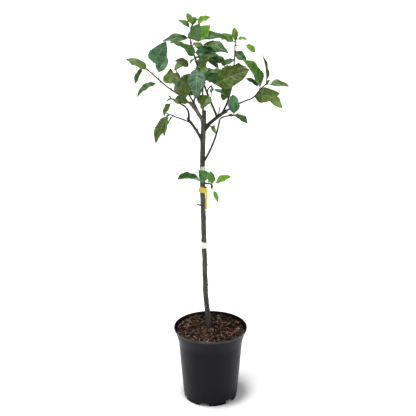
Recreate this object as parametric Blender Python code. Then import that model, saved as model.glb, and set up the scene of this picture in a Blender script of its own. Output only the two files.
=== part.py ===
"""A young apple tree in a black nursery pot, about 1.24 m tall, in metres with +Z up.

The origin is the centre of the pot's flat underside. The front is -Y and +X is to the right.
Limbs are tapered tubes that follow Bezier curves. Each one springs from its parent's centre
line and is cut back to 0.3 mm from the parent's bark. Each shoot of leaves grows by one seeded
rule from a stem that carries on from a limb's tip.
"""

import math
import random

import bmesh
import bpy
import numpy as np
from mathutils import Matrix, Vector

MM = 0.001
GAP = 0.3 * MM
UP = Vector((0, 0, 1))
FRONT = Vector((0, -1, 0))

# The pot: a thin moulded shell with a flared lip, and a foot that is notched for drainage.
POT_HEIGHT = 243 * MM
LIP_RADIUS = 116.7 * MM
NECK_RADIUS = 101.3 * MM
NECK_HEIGHT = 190 * MM
WALL_FOOT_RADIUS = 86.9 * MM
FOOT_RADIUS = 84.4 * MM
FOOT_HEIGHT = 14 * MM
WALL = 2 * MM
CENTRE_PLATE_RADIUS = 60 * MM
FLARE_STEPS = 4
FLARE_POWER = 1.3
LIP_DEPTH = 2 * MM
POT_SIDES = 42
NOTCH_COUNT = 6
NOTCH_WIDTH = 30 * MM
NOTCH_HEIGHT = 12.5 * MM
FIRST_NOTCH = math.radians(-104)

# The potting mix fills the pot to just below the lip, and heaps slightly at the stem.
MIX_HEIGHT = 235 * MM
MIX_SETTLE = 4 * MM
MIX_CLEARANCE = 1.2 * MM

# The trunk: one Bezier curve from a flat cut at the mix to a pruned top.
TRUNK_FOOT = Vector((-5.6 * MM, 7.8 * MM, MIX_HEIGHT + GAP))
TRUNK_LOW_HANDLE = Vector((-22 * MM, 2 * MM, 466 * MM))
TRUNK_HIGH_HANDLE = Vector((-34 * MM, 0, 707 * MM))
TRUNK_TOP = Vector((-18 * MM, 0, 948 * MM))
TRUNK_RADII = ((0.0, 7.5 * MM), (0.955, 7.2 * MM), (1.0, 5.2 * MM))
ROOT_FLARE = 3.2 * MM
ROOT_FLARE_HEIGHT = 14 * MM
TRUNK_RINGS = 22
TRUNK_SIDES = 12

LIMB_SIDES = 8
LIMB_RING_SPACING = 16 * MM
STEM_SIDES = 6

# Each limb: name, parent, share of the parent's length where it springs, its tip in mm,
# how far its middle bows to the upper side in mm, and its radii at the base and the tip in mm.
LIMBS = (
    ("bough_left", "trunk", 0.950, (-61, -15, 977), 2, 5.0, 4.8),
    ("bough_right", "trunk", 0.925, (47, 20, 943), 2, 5.0, 4.4),
    ("bough_low_left", "trunk", 0.865, (-68, -30, 932), 3, 4.0, 3.4),
    ("bough_low_right", "trunk", 0.775, (26, -32, 926), -8, 3.0, 2.2),
    ("bough_rear", "trunk", 0.895, (-24, 84, 985), 6, 3.2, 2.2),
    ("spur_trunk", "trunk", 0.690, (-7, -13, 725), -1, 2.3, 1.8),
    ("spur_crotch", "trunk", 0.905, (-4, -13, 905), 0, 2.0, 1.5),
    ("stub_trunk", "trunk", 0.588, (-43, -2, 656), -1, 1.9, 1.1),
    ("shoot_left", "bough_left", 0.58, (-108, 2, 1006), 4, 2.7, 2.0),
    ("spur_inner", "bough_left", 0.80, (-46, 4, 992), 1, 2.6, 1.9),
    ("spur_rear_left", "bough_left", 0.32, (-78, 66, 1000), 5, 2.8, 1.9),
    ("spur_low_left", "bough_low_left", 0.96, (-84, -40, 976), 10, 2.8, 2.0),
    ("twig_low_left", "bough_low_left", 0.80, (-100, -62, 944), 1, 1.9, 1.6),
    ("leader", "bough_right", 0.62, (-45, 0, 1104), -3, 3.2, 2.0),
    ("bough_right_up", "bough_right", 0.82, (60, 46, 1000), -4, 2.8, 2.1),
    ("bough_right_long", "bough_right", 0.96, (117, 8, 982), 3, 2.6, 1.8),
    ("spur_right_front", "leader", 0.44, (-2, -40, 1030), 2, 2.0, 1.6),
    ("spur_centre", "leader", 0.74, (-38, -40, 1078), 3, 2.0, 1.7),
    ("spur_back", "leader", 0.90, (-26, 44, 1098), 2, 2.0, 1.7),
)

# Each shoot of leaves: name, the limb that it carries on from, its tip in mm, its bow in mm, a
# seed, and its leaves from the base up. A leaf has its share of the stem's length, its stalk in mm,
# where it points as seen from the front (0 right, 90 up, in degrees), how far it turns to the
# front, its length in mm, and how far its upper face rolls from the sky to the front.
SHOOTS = (
    ("leaves_centre", "spur_centre", (-38, -72, 1094), 5, 15,
     ((0.95, 6, 265, 32, 90, 85), (0.6, 26, 240, 0, 84, 65), (0.25, 26, 235, -20, 84, 5),
      (0.05, 36, 155, 10, 46, 50), (0.2, 12, 50, 15, 52, 50))),
    ("leaves_left", "shoot_left", (-200, 60, 1067), 2, 11,
     ((0.05, 26, 85, 35, 66, 75), (0.4, 18, 215, 10, 72, 6), (0.5, 26, 65, -42, 68, 75),
      (0.7, 36, 60, 22, 90, 85), (0.85, 6, 155, -15, 74, 36), (1, 6, 245, 5, 54, 15))),
    ("leaves_low_left", "spur_low_left", (-116, -45, 995), 3, 12,
     ((0.8, 6, -5, 30, 50, 60), (0.7, 6, 85, -30, 44, 30), (0.65, 18, 245, 0, 46, 20))),
    ("leaves_hanging_left", "twig_low_left", (-121, -84, 957), 2, 13,
     ((0.95, 6, 245, 15, 90, 22), (0.4, 6, 250, -20, 74, 20))),
    ("leaves_top", "leader", (-46, 0, 1214), -14, 14,
     ((0.25, 36, 70, 35, 72, 85), (0.3, 26, 45, 0, 64, 60), (0.55, 6, 185, 10, 78, 25),
      (0.35, 36, -5, -20, 92, 25), (0.3, 36, -5, 15, 80, 25), (0.05, 6, 130, 20, 54, 60),
      (0.15, 6, 40, 5, 44, 70), (0.05, 36, 160, -15, 56, 15), (0.15, 36, -15, -25, 74, 40),
      (0.4, 6, 160, 38, 72, 30), (0.8, 6, 150, 5, 42, 30), (0.8, 26, 25, 10, 46, 40),
      (0.9, 6, 120, 0, 34, 60), (0.85, 6, 70, -50, 36, 20), (0.4, 36, 20, -65, 66, 10))),
    ("leaves_back", "spur_back", (-8, 84, 1112), 3, 16,
     ((0.05, 6, 55, -5, 58, 60), (0.75, 6, -40, 10, 50, 50), (0.45, 6, 140, -45, 60, 20),
      (0.8, 6, 25, -50, 60, 20), (0.1, 18, -30, -20, 56, 40), (0.1, 6, 215, -40, 58, 20))),
    ("leaves_right_up", "bough_right_up", (74, 94, 1142), -5, 17,
     ((1, 6, 95, 0, 34, 75), (0.78, 2, -38, 25, 44, 75), (0.62, 2, 180, 10, 40, 30),
      (0.1, 12, 165, 15, 70, 50), (0.1, 36, 155, 5, 60, 40), (0.35, 36, 155, 20, 56, 40),
      (0.4, 6, 0, -50, 60, 20), (0.15, 6, 245, 10, 54, 30), (0.05, 18, 50, 0, 38, 50),
      (0.95, 6, 160, 0, 52, 30), (1, 6, 0, 10, 32, 30), (0.9, 36, -40, -10, 38, 40),
      (0.15, 12, 20, -65, 56, 10))),
    ("leaves_right_front", "spur_right_front", (4, -76, 1032), 3, 18,
     ((0.15, 18, 25, 5, 112, 60), (1, 6, -25, 0, 36, 20), (0.9, 36, 230, 45, 52, 70))),
    ("leaves_right", "bough_right_long", (164, -10, 1031), 3, 19,
     ((0.65, 6, 120, 5, 100, 20), (0.15, 6, 25, 25, 80, 70), (0.95, 12, 100, -10, 80, -8),
      (0.4, 36, -40, 10, 54, 40), (0.95, 12, -10, -10, 62, 40), (0.6, 12, 145, 0, 46, 25))),
    ("leaves_low_right", "bough_low_right", (73, -50, 947), 2, 20,
     ((0.85, 6, 90, -35, 60, 85), (0.9, 6, -30, 10, 42, 30), (0.95, 6, 180, 10, 18, 30))),
    ("leaves_trunk", "spur_trunk", (3, -20, 722), 2, 21,
     ((0.05, 36, 130, 30, 52, 85), (0.05, 36, 170, 10, 74, 0), (0.5, 18, 25, 5, 54, 20),
      (1, 18, -70, 10, 38, 40), (1, 6, 60, -10, 38, 60))),
    ("leaves_inner", "spur_inner", (-43, 12, 1018), 1, 22,
     ((0.3, 6, -70, 15, 44, 60), (0.05, 6, 170, 20, 40, 40), (0.05, 6, 40, -30, 46, 30))),
    ("leaves_rear", "bough_rear", (-12, 160, 1070), 6, 23,
     ((0.2, 6, 165, -30, 58, 30), (0.2, 36, 20, -30, 64, 30), (0.4, 6, 105, -40, 64, 20),
      (0.3, 6, 225, -15, 56, 40), (0.15, 36, -5, -50, 76, 20), (0.3, 36, 15, -65, 68, 10),
      (0.9, 6, 210, -60, 72, 10))),
    ("leaves_rear_left", "spur_rear_left", (-106, 118, 1046), 3, 25,
     ((0.3, 12, 160, -40, 56, 20), (0.5, 6, -15, -40, 58, 30), (0.75, 6, 160, -50, 58, 10),
      (1, 6, 10, -55, 60, 10), (0.15, 6, -85, -30, 50, 20))),
    ("leaves_crotch", "spur_crotch", (4, -18, 903), 0, 24,
     ((0.05, 6, -45, 10, 24, 30),)),
)

# The leaf's own proportions. The outline is its half width along its length, as a part of the
# widest. Each leaf throws these dice, in this order: a scale, its width as a part of its length,
# and in degrees the arch of its midrib, the fold of its halves and a little roll.
LEAF_DICE = (
    ("size", 0.97, 1.03),
    ("width", 0.52, 0.62),
    ("arch", 20, 50),
    ("fold", 14, 28),
    ("roll", -8, 8),
)
LEAF_THICKNESS = 1.15 * MM
LEAF_OUTLINE = ((0.0, 0.0), (0.14, 0.62), (0.38, 1.0), (0.64, 0.86), (0.86, 0.42), (1.0, 0.0))
PETIOLE_RADIUS = 1.0 * MM
STEM_TIP_RADIUS = 1.2 * MM

# Leaves keep these distances, measured between sample points spread over their blades.
SAMPLE_ROWS = 16
SAMPLE_COLUMNS = (-1.0, -0.75, -0.5, -0.25, 0.0, 0.25, 0.5, 0.75, 1.0)
CLEARANCE_TO_LIMBS = 3.5 * MM
CLEARANCE_TO_OWN_SHOOT = 3.5 * MM
CLEARANCE_TO_OTHER_SHOOTS = 6 * MM
TURNS_TO_TRY = (0, 12, -12, 24, -24, 38, -38, 55, -55)

# White nursery tape round the trunk, and a bare strap label that hangs on it.
TIE_THICKNESS = 0.8 * MM
TIES = (("tie_upper", 758 * MM, 17 * MM), ("tie_lower", 511 * MM, 16 * MM))
TIE_STEPS = 1
TIE_SIDES = 20
LABEL_HEIGHT = 702 * MM
LABEL_WIDTH = 13 * MM
LABEL_THICKNESS = 0.8 * MM
LABEL_LOOP_RADIUS = 10.4 * MM
LABEL_SLANT = math.radians(16)
LABEL_TAIL = 64 * MM
LABEL_TAIL_WIDTH = 4.5 * MM

# Colours, roughness: bark, leaf, pot, mix, tape, label.
FINISHES = {
    "bark": ((0.115, 0.105, 0.085), 0.8),
    "leaf": ((0.075, 0.19, 0.045), 0.5),
    "pot_plastic": ((0.018, 0.018, 0.021), 0.45),
    "mix": ((0.105, 0.045, 0.022), 0.9),
    "tape": ((0.82, 0.83, 0.81), 0.5),
    "label": ((0.85, 0.66, 0.03), 0.45),
}


def material(name):
    made = bpy.data.materials.get(name)
    if made is None:
        colour, roughness = FINISHES[name]
        made = bpy.data.materials.new(name)
        made.use_nodes = True
        shader = made.node_tree.nodes["Principled BSDF"]
        shader.inputs["Base Color"].default_value = (*colour, 1)
        shader.inputs["Roughness"].default_value = roughness
        made.diffuse_color = (*colour, 1)
    return made


def object_of(name, bm, finish):
    mesh = bpy.data.meshes.new(name)
    bm.to_mesh(mesh)
    bm.free()
    obj = bpy.data.objects.new(name, mesh)
    bpy.context.scene.collection.objects.link(obj)
    mesh.materials.append(material(finish))
    return obj


def boolean(obj, operation, others):
    """Joins or cuts obj with all of the others in one Boolean, and removes them."""
    group = bpy.data.collections.new("operands")
    for other in others:
        group.objects.link(other)
    modifier = obj.modifiers.new(operation.lower(), "BOOLEAN")
    modifier.operation = operation
    modifier.operand_type = "COLLECTION"
    modifier.collection = group
    modifier.solver = "EXACT"
    bpy.context.view_layer.update()
    graph = bpy.context.evaluated_depsgraph_get()
    result = bpy.data.meshes.new_from_object(obj.evaluated_get(graph))
    obj.modifiers.clear()
    obj.data = result
    for other in others:
        bpy.data.objects.remove(other)
    bpy.data.collections.remove(group)


def smooth(obj, degrees=35):
    obj.data.shade_smooth()
    obj.data.set_sharp_from_angle(angle=math.radians(degrees))


def turned(name, profile, sides, finish):
    """A solid of revolution about Z from a profile of (radius, height) that ends on the axis."""
    bm = bmesh.new()
    corners = [bm.verts.new((radius, 0, height)) for radius, height in profile]
    edges = [bm.edges.new(pair) for pair in zip(corners, corners[1:])]
    bmesh.ops.spin(
        bm, geom=corners + edges, cent=(0, 0, 0), axis=(0, 0, 1),
        angle=math.tau, steps=sides, use_merge=True,
    )
    bmesh.ops.remove_doubles(bm, verts=bm.verts, dist=0.01 * MM)
    bmesh.ops.recalc_face_normals(bm, faces=bm.faces)
    return object_of(name, bm, finish)


def tube(name, stations, sides, finish):
    """A closed tube through stations of (point, radius, direction that the ring faces)."""
    bm = bmesh.new()
    side = None
    last = None
    for point, radius, along in stations:
        side = along.orthogonal() if side is None else side - side.dot(along) * along
        side.normalize()
        across = along.cross(side)
        ring = []
        for step in range(sides):
            angle = math.tau * step / sides
            ring.append(bm.verts.new(point + radius * (math.cos(angle) * side + math.sin(angle) * across)))
        if last is None:
            bm.faces.new(ring[::-1])
        else:
            for step in range(sides):
                after = (step + 1) % sides
                bm.faces.new((last[step], last[after], ring[after], ring[step]))
        last = ring
    bm.faces.new(last)
    return object_of(name, bm, finish)


def between(table, share):
    """The value at a share, read along straight lines between the table's rows."""
    for (s0, v0), (s1, v1) in zip(table, table[1:]):
        if share <= s1:
            return v0 + (v1 - v0) * (share - s0) / (s1 - s0)
    return table[-1][1]


def bezier(handles, share):
    """A point on the Bezier curve of any number of handles."""
    while len(handles) > 1:
        handles = [a.lerp(b, share) for a, b in zip(handles, handles[1:])]
    return handles[0]


def heading(handles, share):
    """The direction in which the Bezier curve runs at a share of its length."""
    return bezier([b - a for a, b in zip(handles, handles[1:])], share).normalized()


def bowed(start, tip, bow):
    """Handles of a curve whose middle is pushed by bow to the upper side of its chord."""
    chord = tip - start
    upper = UP - UP.dot(chord) / chord.length_squared * chord
    return [start, start.lerp(tip, 0.5) + 2 * bow * upper.normalized(), tip]


def direction(clock, turn):
    """Clock is seen from the front, and turn swings it out towards the front."""
    a, t = math.radians(clock), math.radians(turn)
    return Vector((math.cos(a) * math.cos(t), -math.sin(t), math.sin(a) * math.cos(t)))


def trunk_station(share):
    """The trunk's rings stay level, so that its foot and its pruned top are level cuts."""
    point = bezier([TRUNK_FOOT, TRUNK_LOW_HANDLE, TRUNK_HIGH_HANDLE, TRUNK_TOP], share)
    flare = ROOT_FLARE * math.exp(-(point.z - TRUNK_FOOT.z) / ROOT_FLARE_HEIGHT)
    return point, between(TRUNK_RADII, share) + flare, UP


def trunk_at_height(height):
    """The trunk's station at a height, found by halving."""
    low, high = 0.0, 1.0
    for _ in range(24):
        middle = (low + high) / 2
        if trunk_station(middle)[0].z < height:
            low = middle
        else:
            high = middle
    return trunk_station(low)


def limb_stations(handles, base_radius, tip_radius, spacing=LIMB_RING_SPACING):
    count = max(3, round((handles[-1] - handles[0]).length / spacing))
    stations = []
    for index in range(count + 1):
        share = index / count
        radius = base_radius + share * (tip_radius - base_radius)
        stations.append((bezier(handles, share), radius, heading(handles, share)))
    return stations


def grown(stations, wider, longer):
    """The stations with every radius made wider, and both ends made longer."""
    larger = [(point, radius + wider, along) for point, radius, along in stations]
    for index, way in ((0, -1), (-1, 1)):
        point, radius, along = larger[index]
        larger[index] = (point + way * longer * along, radius, along)
    return larger


def limb_plan():
    """Every limb's curve handles and radii, in the order that they grow."""
    curves = {"trunk": [TRUNK_FOOT, TRUNK_LOW_HANDLE, TRUNK_HIGH_HANDLE, TRUNK_TOP]}
    plan = []
    for name, parent, share, tip, bow, base_radius, tip_radius in LIMBS:
        start = bezier(curves[parent], share)
        curves[name] = bowed(start, Vector(tip) * MM, bow * MM)
        plan.append((name, parent, curves[name], base_radius * MM, tip_radius * MM))
    return plan


def stem_handles(limb, tip, bow):
    """A stem that leaves its limb's tip along the limb's own line, one gap clear of it."""
    along = heading(limb, 1)
    start = limb[-1] + GAP * along
    middle = bowed(start.lerp(tip, 0.32), tip, bow)[1]
    return [start, start + (tip - start).length * 0.3 * along, middle, tip]


def leaf_frame(along, roll):
    """The blade's axes: along, to its left edge, and out of its upper face.

    The upper face looks as nearly as it can towards roll, from 0 at the sky to 90 at the front.
    """
    facing = math.cos(math.radians(roll)) * UP + math.sin(math.radians(roll)) * FRONT
    normal = (facing - facing.dot(along) * along).normalized()
    return along, normal.cross(along), normal


def rib_point(leaf, share):
    """A point on the midrib, which arches evenly from base to tip."""
    along, _, normal = leaf["frame"]
    arch = leaf["arch"]
    sweep = arch * share
    run = math.sin(arch / 2) - math.sin(arch / 2 - sweep)
    rise = math.cos(arch / 2 - sweep) - math.cos(arch / 2)
    return leaf["base"] + leaf["length"] / arch * (run * along + rise * normal)


def blade_point(leaf, share, across):
    """A point on the folded blade: across runs from -1 at the right edge to 1 at the left."""
    along, left, normal = leaf["frame"]
    out = across * between(LEAF_OUTLINE, share) * leaf["width"] / 2
    fold = leaf["fold"]
    sweep = leaf["arch"] * (0.5 - share)
    tilted = math.cos(sweep) * normal - math.sin(sweep) * along
    return rib_point(leaf, share) + out * math.cos(fold) * left + abs(out) * math.sin(fold) * tilted


def samples(leaf):
    """Points spread over the petiole and the blade, for keeping leaves apart."""
    found = [leaf["node"].lerp(leaf["base"], 0.8)]
    for row in range(SAMPLE_ROWS + 1):
        for column in SAMPLE_COLUMNS:
            found.append(blade_point(leaf, row / SAMPLE_ROWS, column))
    return np.array(found)


def grown_leaf(node, stem_along, spec, turn_by, dice):
    _, stalk, clock, turn, length, roll = spec
    along = direction(clock + turn_by, turn)
    length = length * MM * dice["size"]
    leaving = (stem_along + 1.6 * along).normalized()
    leaf = {
        "node": node,
        "base": node + stalk * MM * leaving,
        "frame": leaf_frame(along, roll + dice["roll"]),
        "length": length,
        "width": length * dice["width"],
        "arch": math.radians(dice["arch"]),
        "fold": math.radians(dice["fold"]),
    }
    return leaf


def crown_plan(limbs):
    """Each shoot's stem and its leaves. A leaf with no room turns a little, or isn't grown."""
    curves = {name: handles for name, _, handles, _, _ in limbs}
    stems = {}
    for name, limb, tip, bow, _, _ in SHOOTS:
        stems[name] = stem_handles(curves[limb], Vector(tip) * MM, bow * MM)
    taken = {name: [] for name in ("limbs", *stems)}
    for _, _, handles, base_radius, tip_radius in limbs:
        for point, radius, _ in limb_stations(handles, base_radius, tip_radius, 5 * MM):
            taken["limbs"].append((*point, radius + CLEARANCE_TO_LIMBS))
    for index in range(161):
        point, radius, _ = trunk_station(index / 160)
        taken["limbs"].append((*point, radius + TIE_THICKNESS + CLEARANCE_TO_LIMBS))
    plan = []
    for name, limb, _, _, seed, specs in SHOOTS:
        rng = random.Random(seed)
        others = [row for owner, rows in taken.items() if owner != name for row in rows]
        for other, handles in stems.items():
            if other != name:
                others += [(*bezier(handles, index / 24), CLEARANCE_TO_LIMBS) for index in range(25)]
        others = np.array(others)
        leaves = []
        for index, spec in enumerate(specs):
            node = bezier(stems[name], spec[0])
            stem_along = heading(stems[name], spec[0])
            dice = {trait: rng.uniform(low, high) for trait, low, high in LEAF_DICE}
            for turn_by in TURNS_TO_TRY:
                leaf = grown_leaf(node, stem_along, spec, turn_by, dice)
                points = samples(leaf)
                if not crowded(points, others) and not crowded(points, np.array(taken[name])):
                    leaves.append(leaf)
                    own = [(*point, CLEARANCE_TO_OWN_SHOOT) for point in points]
                    taken[name] += own
                    break
        spread = CLEARANCE_TO_OTHER_SHOOTS
        taken[name] = [(x, y, z, spread) for x, y, z, _ in taken[name]]
        plan.append((name, limb, stems[name], leaves))
    return plan


def crowded(points, taken):
    """Whether any of the points is nearer to a taken point than its clearance."""
    if len(taken) == 0:
        return False
    reach = np.linalg.norm(points[:, None] - taken[None, :, :3], axis=2)
    return bool((reach < taken[None, :, 3]).any())


def blade(leaf):
    """One leaf as a closed folded plate of even thickness."""
    along, left, normal = leaf["frame"]
    bm = bmesh.new()
    upper, lower = [], []
    for share, _ in LEAF_OUTLINE:
        ends = share in (0.0, 1.0)
        sweep = leaf["arch"] * (0.5 - share)
        tilted = math.cos(sweep) * normal - math.sin(sweep) * along
        for rows, shift in ((upper, LEAF_THICKNESS / 2), (lower, -LEAF_THICKNESS / 2)):
            places = (0.0,) if ends else (-1.0, 0.0, 1.0)
            row = [bm.verts.new(blade_point(leaf, share, place) + shift * tilted) for place in places]
            rows.append(row)
    for rows in (upper, lower):
        for row, after in zip(rows, rows[1:]):
            if len(row) == 1:
                bm.faces.new((row[0], after[0], after[1]))
                bm.faces.new((row[0], after[1], after[2]))
            elif len(after) == 1:
                bm.faces.new((row[0], after[0], row[1]))
                bm.faces.new((row[1], after[0], row[2]))
            else:
                bm.faces.new((row[0], after[0], after[1], row[1]))
                bm.faces.new((row[1], after[1], after[2], row[2]))
    for edge in (0, -1):
        for place in range(len(upper) - 1):
            bm.faces.new((upper[place][edge], upper[place + 1][edge], lower[place + 1][edge], lower[place][edge]))
    bmesh.ops.recalc_face_normals(bm, faces=bm.faces)
    return object_of("blade", bm, "leaf")


def petiole(leaf):
    """The stalk, which runs on under the blade as the root of its midrib."""
    points = [leaf["node"], leaf["base"], rib_point(leaf, 0.14), rib_point(leaf, 0.40)]
    stations = []
    for index, (point, part) in enumerate(zip(points, (1.0, 1.0, 0.9, 0.5))):
        along = points[min(index + 1, 3)] - points[max(index - 1, 0)]
        stations.append((point, part * PETIOLE_RADIUS, along.normalized()))
    return tube("petiole", stations, 4, "leaf")


def flare_radius(height):
    """The flare's outer radius at a height: it leaves the wall gently and opens towards the lip."""
    lift = (height - NECK_HEIGHT) / (POT_HEIGHT - LIP_DEPTH - NECK_HEIGHT)
    return NECK_RADIUS + (LIP_RADIUS - NECK_RADIUS) * lift ** FLARE_POWER


def make_pot():
    flare = []
    for step in range(1, FLARE_STEPS + 1):
        height = NECK_HEIGHT + (POT_HEIGHT - LIP_DEPTH - NECK_HEIGHT) * step / FLARE_STEPS
        flare.append((flare_radius(height), height))
    outer = [(WALL_FOOT_RADIUS, FOOT_HEIGHT + 1 * MM), (NECK_RADIUS, NECK_HEIGHT), *flare]
    profile = [
        (0, 0),
        (CENTRE_PLATE_RADIUS, 0),
        (CENTRE_PLATE_RADIUS, FOOT_HEIGHT),
        (FOOT_RADIUS - WALL, FOOT_HEIGHT),
        (FOOT_RADIUS - WALL, 0),
        (FOOT_RADIUS, 0),
        (FOOT_RADIUS, FOOT_HEIGHT),
        *outer,
        (LIP_RADIUS, POT_HEIGHT - 0.6 * MM),
        (LIP_RADIUS - 1 * MM, POT_HEIGHT),
        (LIP_RADIUS - WALL, POT_HEIGHT - 0.4 * MM),
        *[(radius - WALL, height) for radius, height in reversed(outer[1:-1])],
        (WALL_FOOT_RADIUS - WALL, FOOT_HEIGHT + WALL),
        (CENTRE_PLATE_RADIUS - WALL, FOOT_HEIGHT + WALL),
        (CENTRE_PLATE_RADIUS - WALL, WALL),
        (0, WALL),
    ]
    pot = turned("pot", profile, POT_SIDES, "pot_plastic")
    cutters = []
    for index in range(NOTCH_COUNT):
        bm = bmesh.new()
        bmesh.ops.create_cube(bm, size=1)
        bmesh.ops.scale(bm, vec=(16 * MM, NOTCH_WIDTH, 2 * NOTCH_HEIGHT), verts=bm.verts)
        bmesh.ops.translate(bm, vec=(FOOT_RADIUS - 1 * MM, 0, 0), verts=bm.verts)
        turn = Matrix.Rotation(FIRST_NOTCH + math.tau * index / NOTCH_COUNT, 3, "Z")
        bmesh.ops.rotate(bm, cent=(0, 0, 0), matrix=turn, verts=bm.verts)
        cutters.append(object_of("notch", bm, "pot_plastic"))
    boolean(pot, "DIFFERENCE", cutters)
    smooth(pot)
    return pot


def make_mix():
    """The mix follows the inside of the pot, just clear of it."""
    floor = FOOT_HEIGHT + WALL + GAP
    edge_height = MIX_HEIGHT - MIX_SETTLE
    middle = NECK_HEIGHT + 0.5 * (edge_height - NECK_HEIGHT)
    edge = flare_radius(edge_height) - WALL - MIX_CLEARANCE
    profile = [
        (0, WALL + GAP),
        (CENTRE_PLATE_RADIUS - WALL - GAP, WALL + GAP),
        (CENTRE_PLATE_RADIUS - WALL - GAP, floor),
        (WALL_FOOT_RADIUS - WALL - 2 * GAP, floor),
        (NECK_RADIUS - WALL - 2 * GAP, NECK_HEIGHT - 1 * MM),
        (flare_radius(middle) - WALL - MIX_CLEARANCE, middle),
        (edge, edge_height),
        (0.8 * edge, MIX_HEIGHT - 0.5 * MIX_SETTLE),
        (0.25 * edge, MIX_HEIGHT),
        (0, MIX_HEIGHT),
    ]
    mix = turned("potting_mix", profile, POT_SIDES, "mix")
    smooth(mix)
    return mix


def make_trunk():
    shares = [((index / TRUNK_RINGS) ** 1.25) for index in range(TRUNK_RINGS + 1)]
    stations = [trunk_station(share) for share in shares]
    smooth(tube("trunk", stations, TRUNK_SIDES, "bark"))
    return stations


def make_limbs(limbs, trunk_stations):
    built = {"trunk": (trunk_stations, TRUNK_SIDES)}
    for name, parent, handles, base_radius, tip_radius in limbs:
        stations = limb_stations(handles, base_radius, tip_radius)
        limb = tube(name, stations, LIMB_SIDES, "bark")
        parent_stations, sides = built[parent]
        cutter = tube("cutter", grown(parent_stations, GAP, GAP), sides, "bark")
        boolean(limb, "DIFFERENCE", [cutter])
        smooth(limb)
        built[name] = (stations, LIMB_SIDES)


def make_shoot(name, handles, leaves, base_radius):
    """The stem with its petioles and leaves, joined to one solid."""
    count = max(4, round((handles[-1] - handles[0]).length / (14 * MM)))
    stations = []
    for index in range(count + 1):
        share = index / count
        radius = base_radius + share * (STEM_TIP_RADIUS - base_radius)
        stations.append((bezier(handles, share), radius, heading(handles, share)))
    shoot = tube(name, stations, STEM_SIDES, "leaf")
    pieces = []
    for leaf in leaves:
        pieces += [petiole(leaf), blade(leaf)]
    boolean(shoot, "UNION", pieces)
    smooth(shoot, 50)
    return shoot


def make_tie(name, low, height):
    """A band of tape round the trunk that follows its lean and taper."""
    inner, outer = [], []
    for step in range(TIE_STEPS + 1):
        point, radius, _ = trunk_at_height(low + height * step / TIE_STEPS)
        inner.append((point, radius + 2 * GAP, UP))
        outer.append((point, radius + 2 * GAP + TIE_THICKNESS, UP))
    band = tube(name, outer, TIE_SIDES, "tape")
    bore = tube("bore", grown(inner, 0, 2 * MM), TIE_SIDES, "tape")
    boolean(band, "DIFFERENCE", [bore])
    smooth(band)


def make_label():
    """A strap looped loosely round the trunk on a slant, its end hanging down on the right."""
    point, radius, _ = trunk_at_height(LABEL_HEIGHT)
    slack = LABEL_LOOP_RADIUS - radius - 2 * GAP
    centre = point + Vector((0.1 * slack, 0, 0))
    axis = Matrix.Rotation(LABEL_SLANT, 3, "Y") @ UP
    ends = [centre + way * LABEL_WIDTH / 2 * axis for way in (-1, 1)]
    outer = [(end, LABEL_LOOP_RADIUS + LABEL_THICKNESS, axis) for end in ends]
    inner = [(end, LABEL_LOOP_RADIUS, axis) for end in ends]
    label = tube("label", outer, TIE_SIDES, "label")
    boolean(label, "DIFFERENCE", [tube("bore", grown(inner, 0, 2 * MM), TIE_SIDES, "label")])
    bm = bmesh.new()
    bmesh.ops.create_cube(bm, size=1)
    bmesh.ops.scale(bm, vec=(LABEL_TAIL_WIDTH, LABEL_THICKNESS, LABEL_TAIL), verts=bm.verts)
    side = centre + Vector((LABEL_LOOP_RADIUS + 0.2 * MM, 0, -0.5 * LABEL_TAIL))
    bmesh.ops.translate(bm, vec=side, verts=bm.verts)
    boolean(label, "UNION", [object_of("tail", bm, "label")])
    smooth(label)


def main():
    for old in list(bpy.data.objects):
        bpy.data.objects.remove(old)
    make_pot()
    make_mix()
    trunk_stations = make_trunk()
    limbs = limb_plan()
    make_limbs(limbs, trunk_stations)
    tip_radii = {name: tip_radius for name, _, _, _, tip_radius in limbs}
    for name, limb, handles, leaves in crown_plan(limbs):
        make_shoot(name, handles, leaves, tip_radii[limb])
    for name, low, height in TIES:
        make_tie(name, low, height)
    make_label()


main()
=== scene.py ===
# %% [markdown]
# # A young apple tree in a nursery pot
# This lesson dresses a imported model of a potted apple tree. The solids give the true places of the
# pot, the trunk, every bough and every leafy shoot. The looks are made here: bark with relief,
# leaves with teeth and sunken veins, loose chips of bark on the potting mix, and a moulded pot.
# Everything is in metres, with +Z up and the front at -Y, and nothing is fitted afterwards.

import math
import random

import bmesh
import bpy
import numpy as np
from mathutils import Matrix, Vector, noise


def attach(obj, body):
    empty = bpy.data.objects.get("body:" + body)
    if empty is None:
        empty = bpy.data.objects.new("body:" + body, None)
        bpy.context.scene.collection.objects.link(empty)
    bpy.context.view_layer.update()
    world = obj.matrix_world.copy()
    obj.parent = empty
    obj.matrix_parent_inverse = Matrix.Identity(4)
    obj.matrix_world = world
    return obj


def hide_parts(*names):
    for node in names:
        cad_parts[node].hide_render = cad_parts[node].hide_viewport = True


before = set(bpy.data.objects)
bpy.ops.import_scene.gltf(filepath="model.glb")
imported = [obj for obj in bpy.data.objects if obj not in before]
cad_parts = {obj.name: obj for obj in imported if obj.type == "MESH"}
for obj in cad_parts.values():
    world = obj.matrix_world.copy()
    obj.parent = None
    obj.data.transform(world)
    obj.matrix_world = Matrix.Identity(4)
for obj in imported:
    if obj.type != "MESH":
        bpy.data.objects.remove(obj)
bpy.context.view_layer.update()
MM = 0.001
UP = Vector((0, 0, 1))
FRONT = Vector((0, -1, 0))

# %% [markdown]
# ## Colour
# A colour picked on a screen is an sRGB hex value, and a shader wants linear light. One function
# turns the first into the second. A second one mixes two colours in linear light, as the eye does
# with fine veins seen from a step away.

# %% Colours


def linear(hex_colour):
    """An sRGB hex value as linear red, green, blue and a full alpha."""
    values = [int(hex_colour[place:place + 2], 16) / 255 for place in (1, 3, 5)]
    return (*(v / 12.92 if v <= 0.04045 else ((v + 0.055) / 1.055) ** 2.4 for v in values), 1.0)


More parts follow.
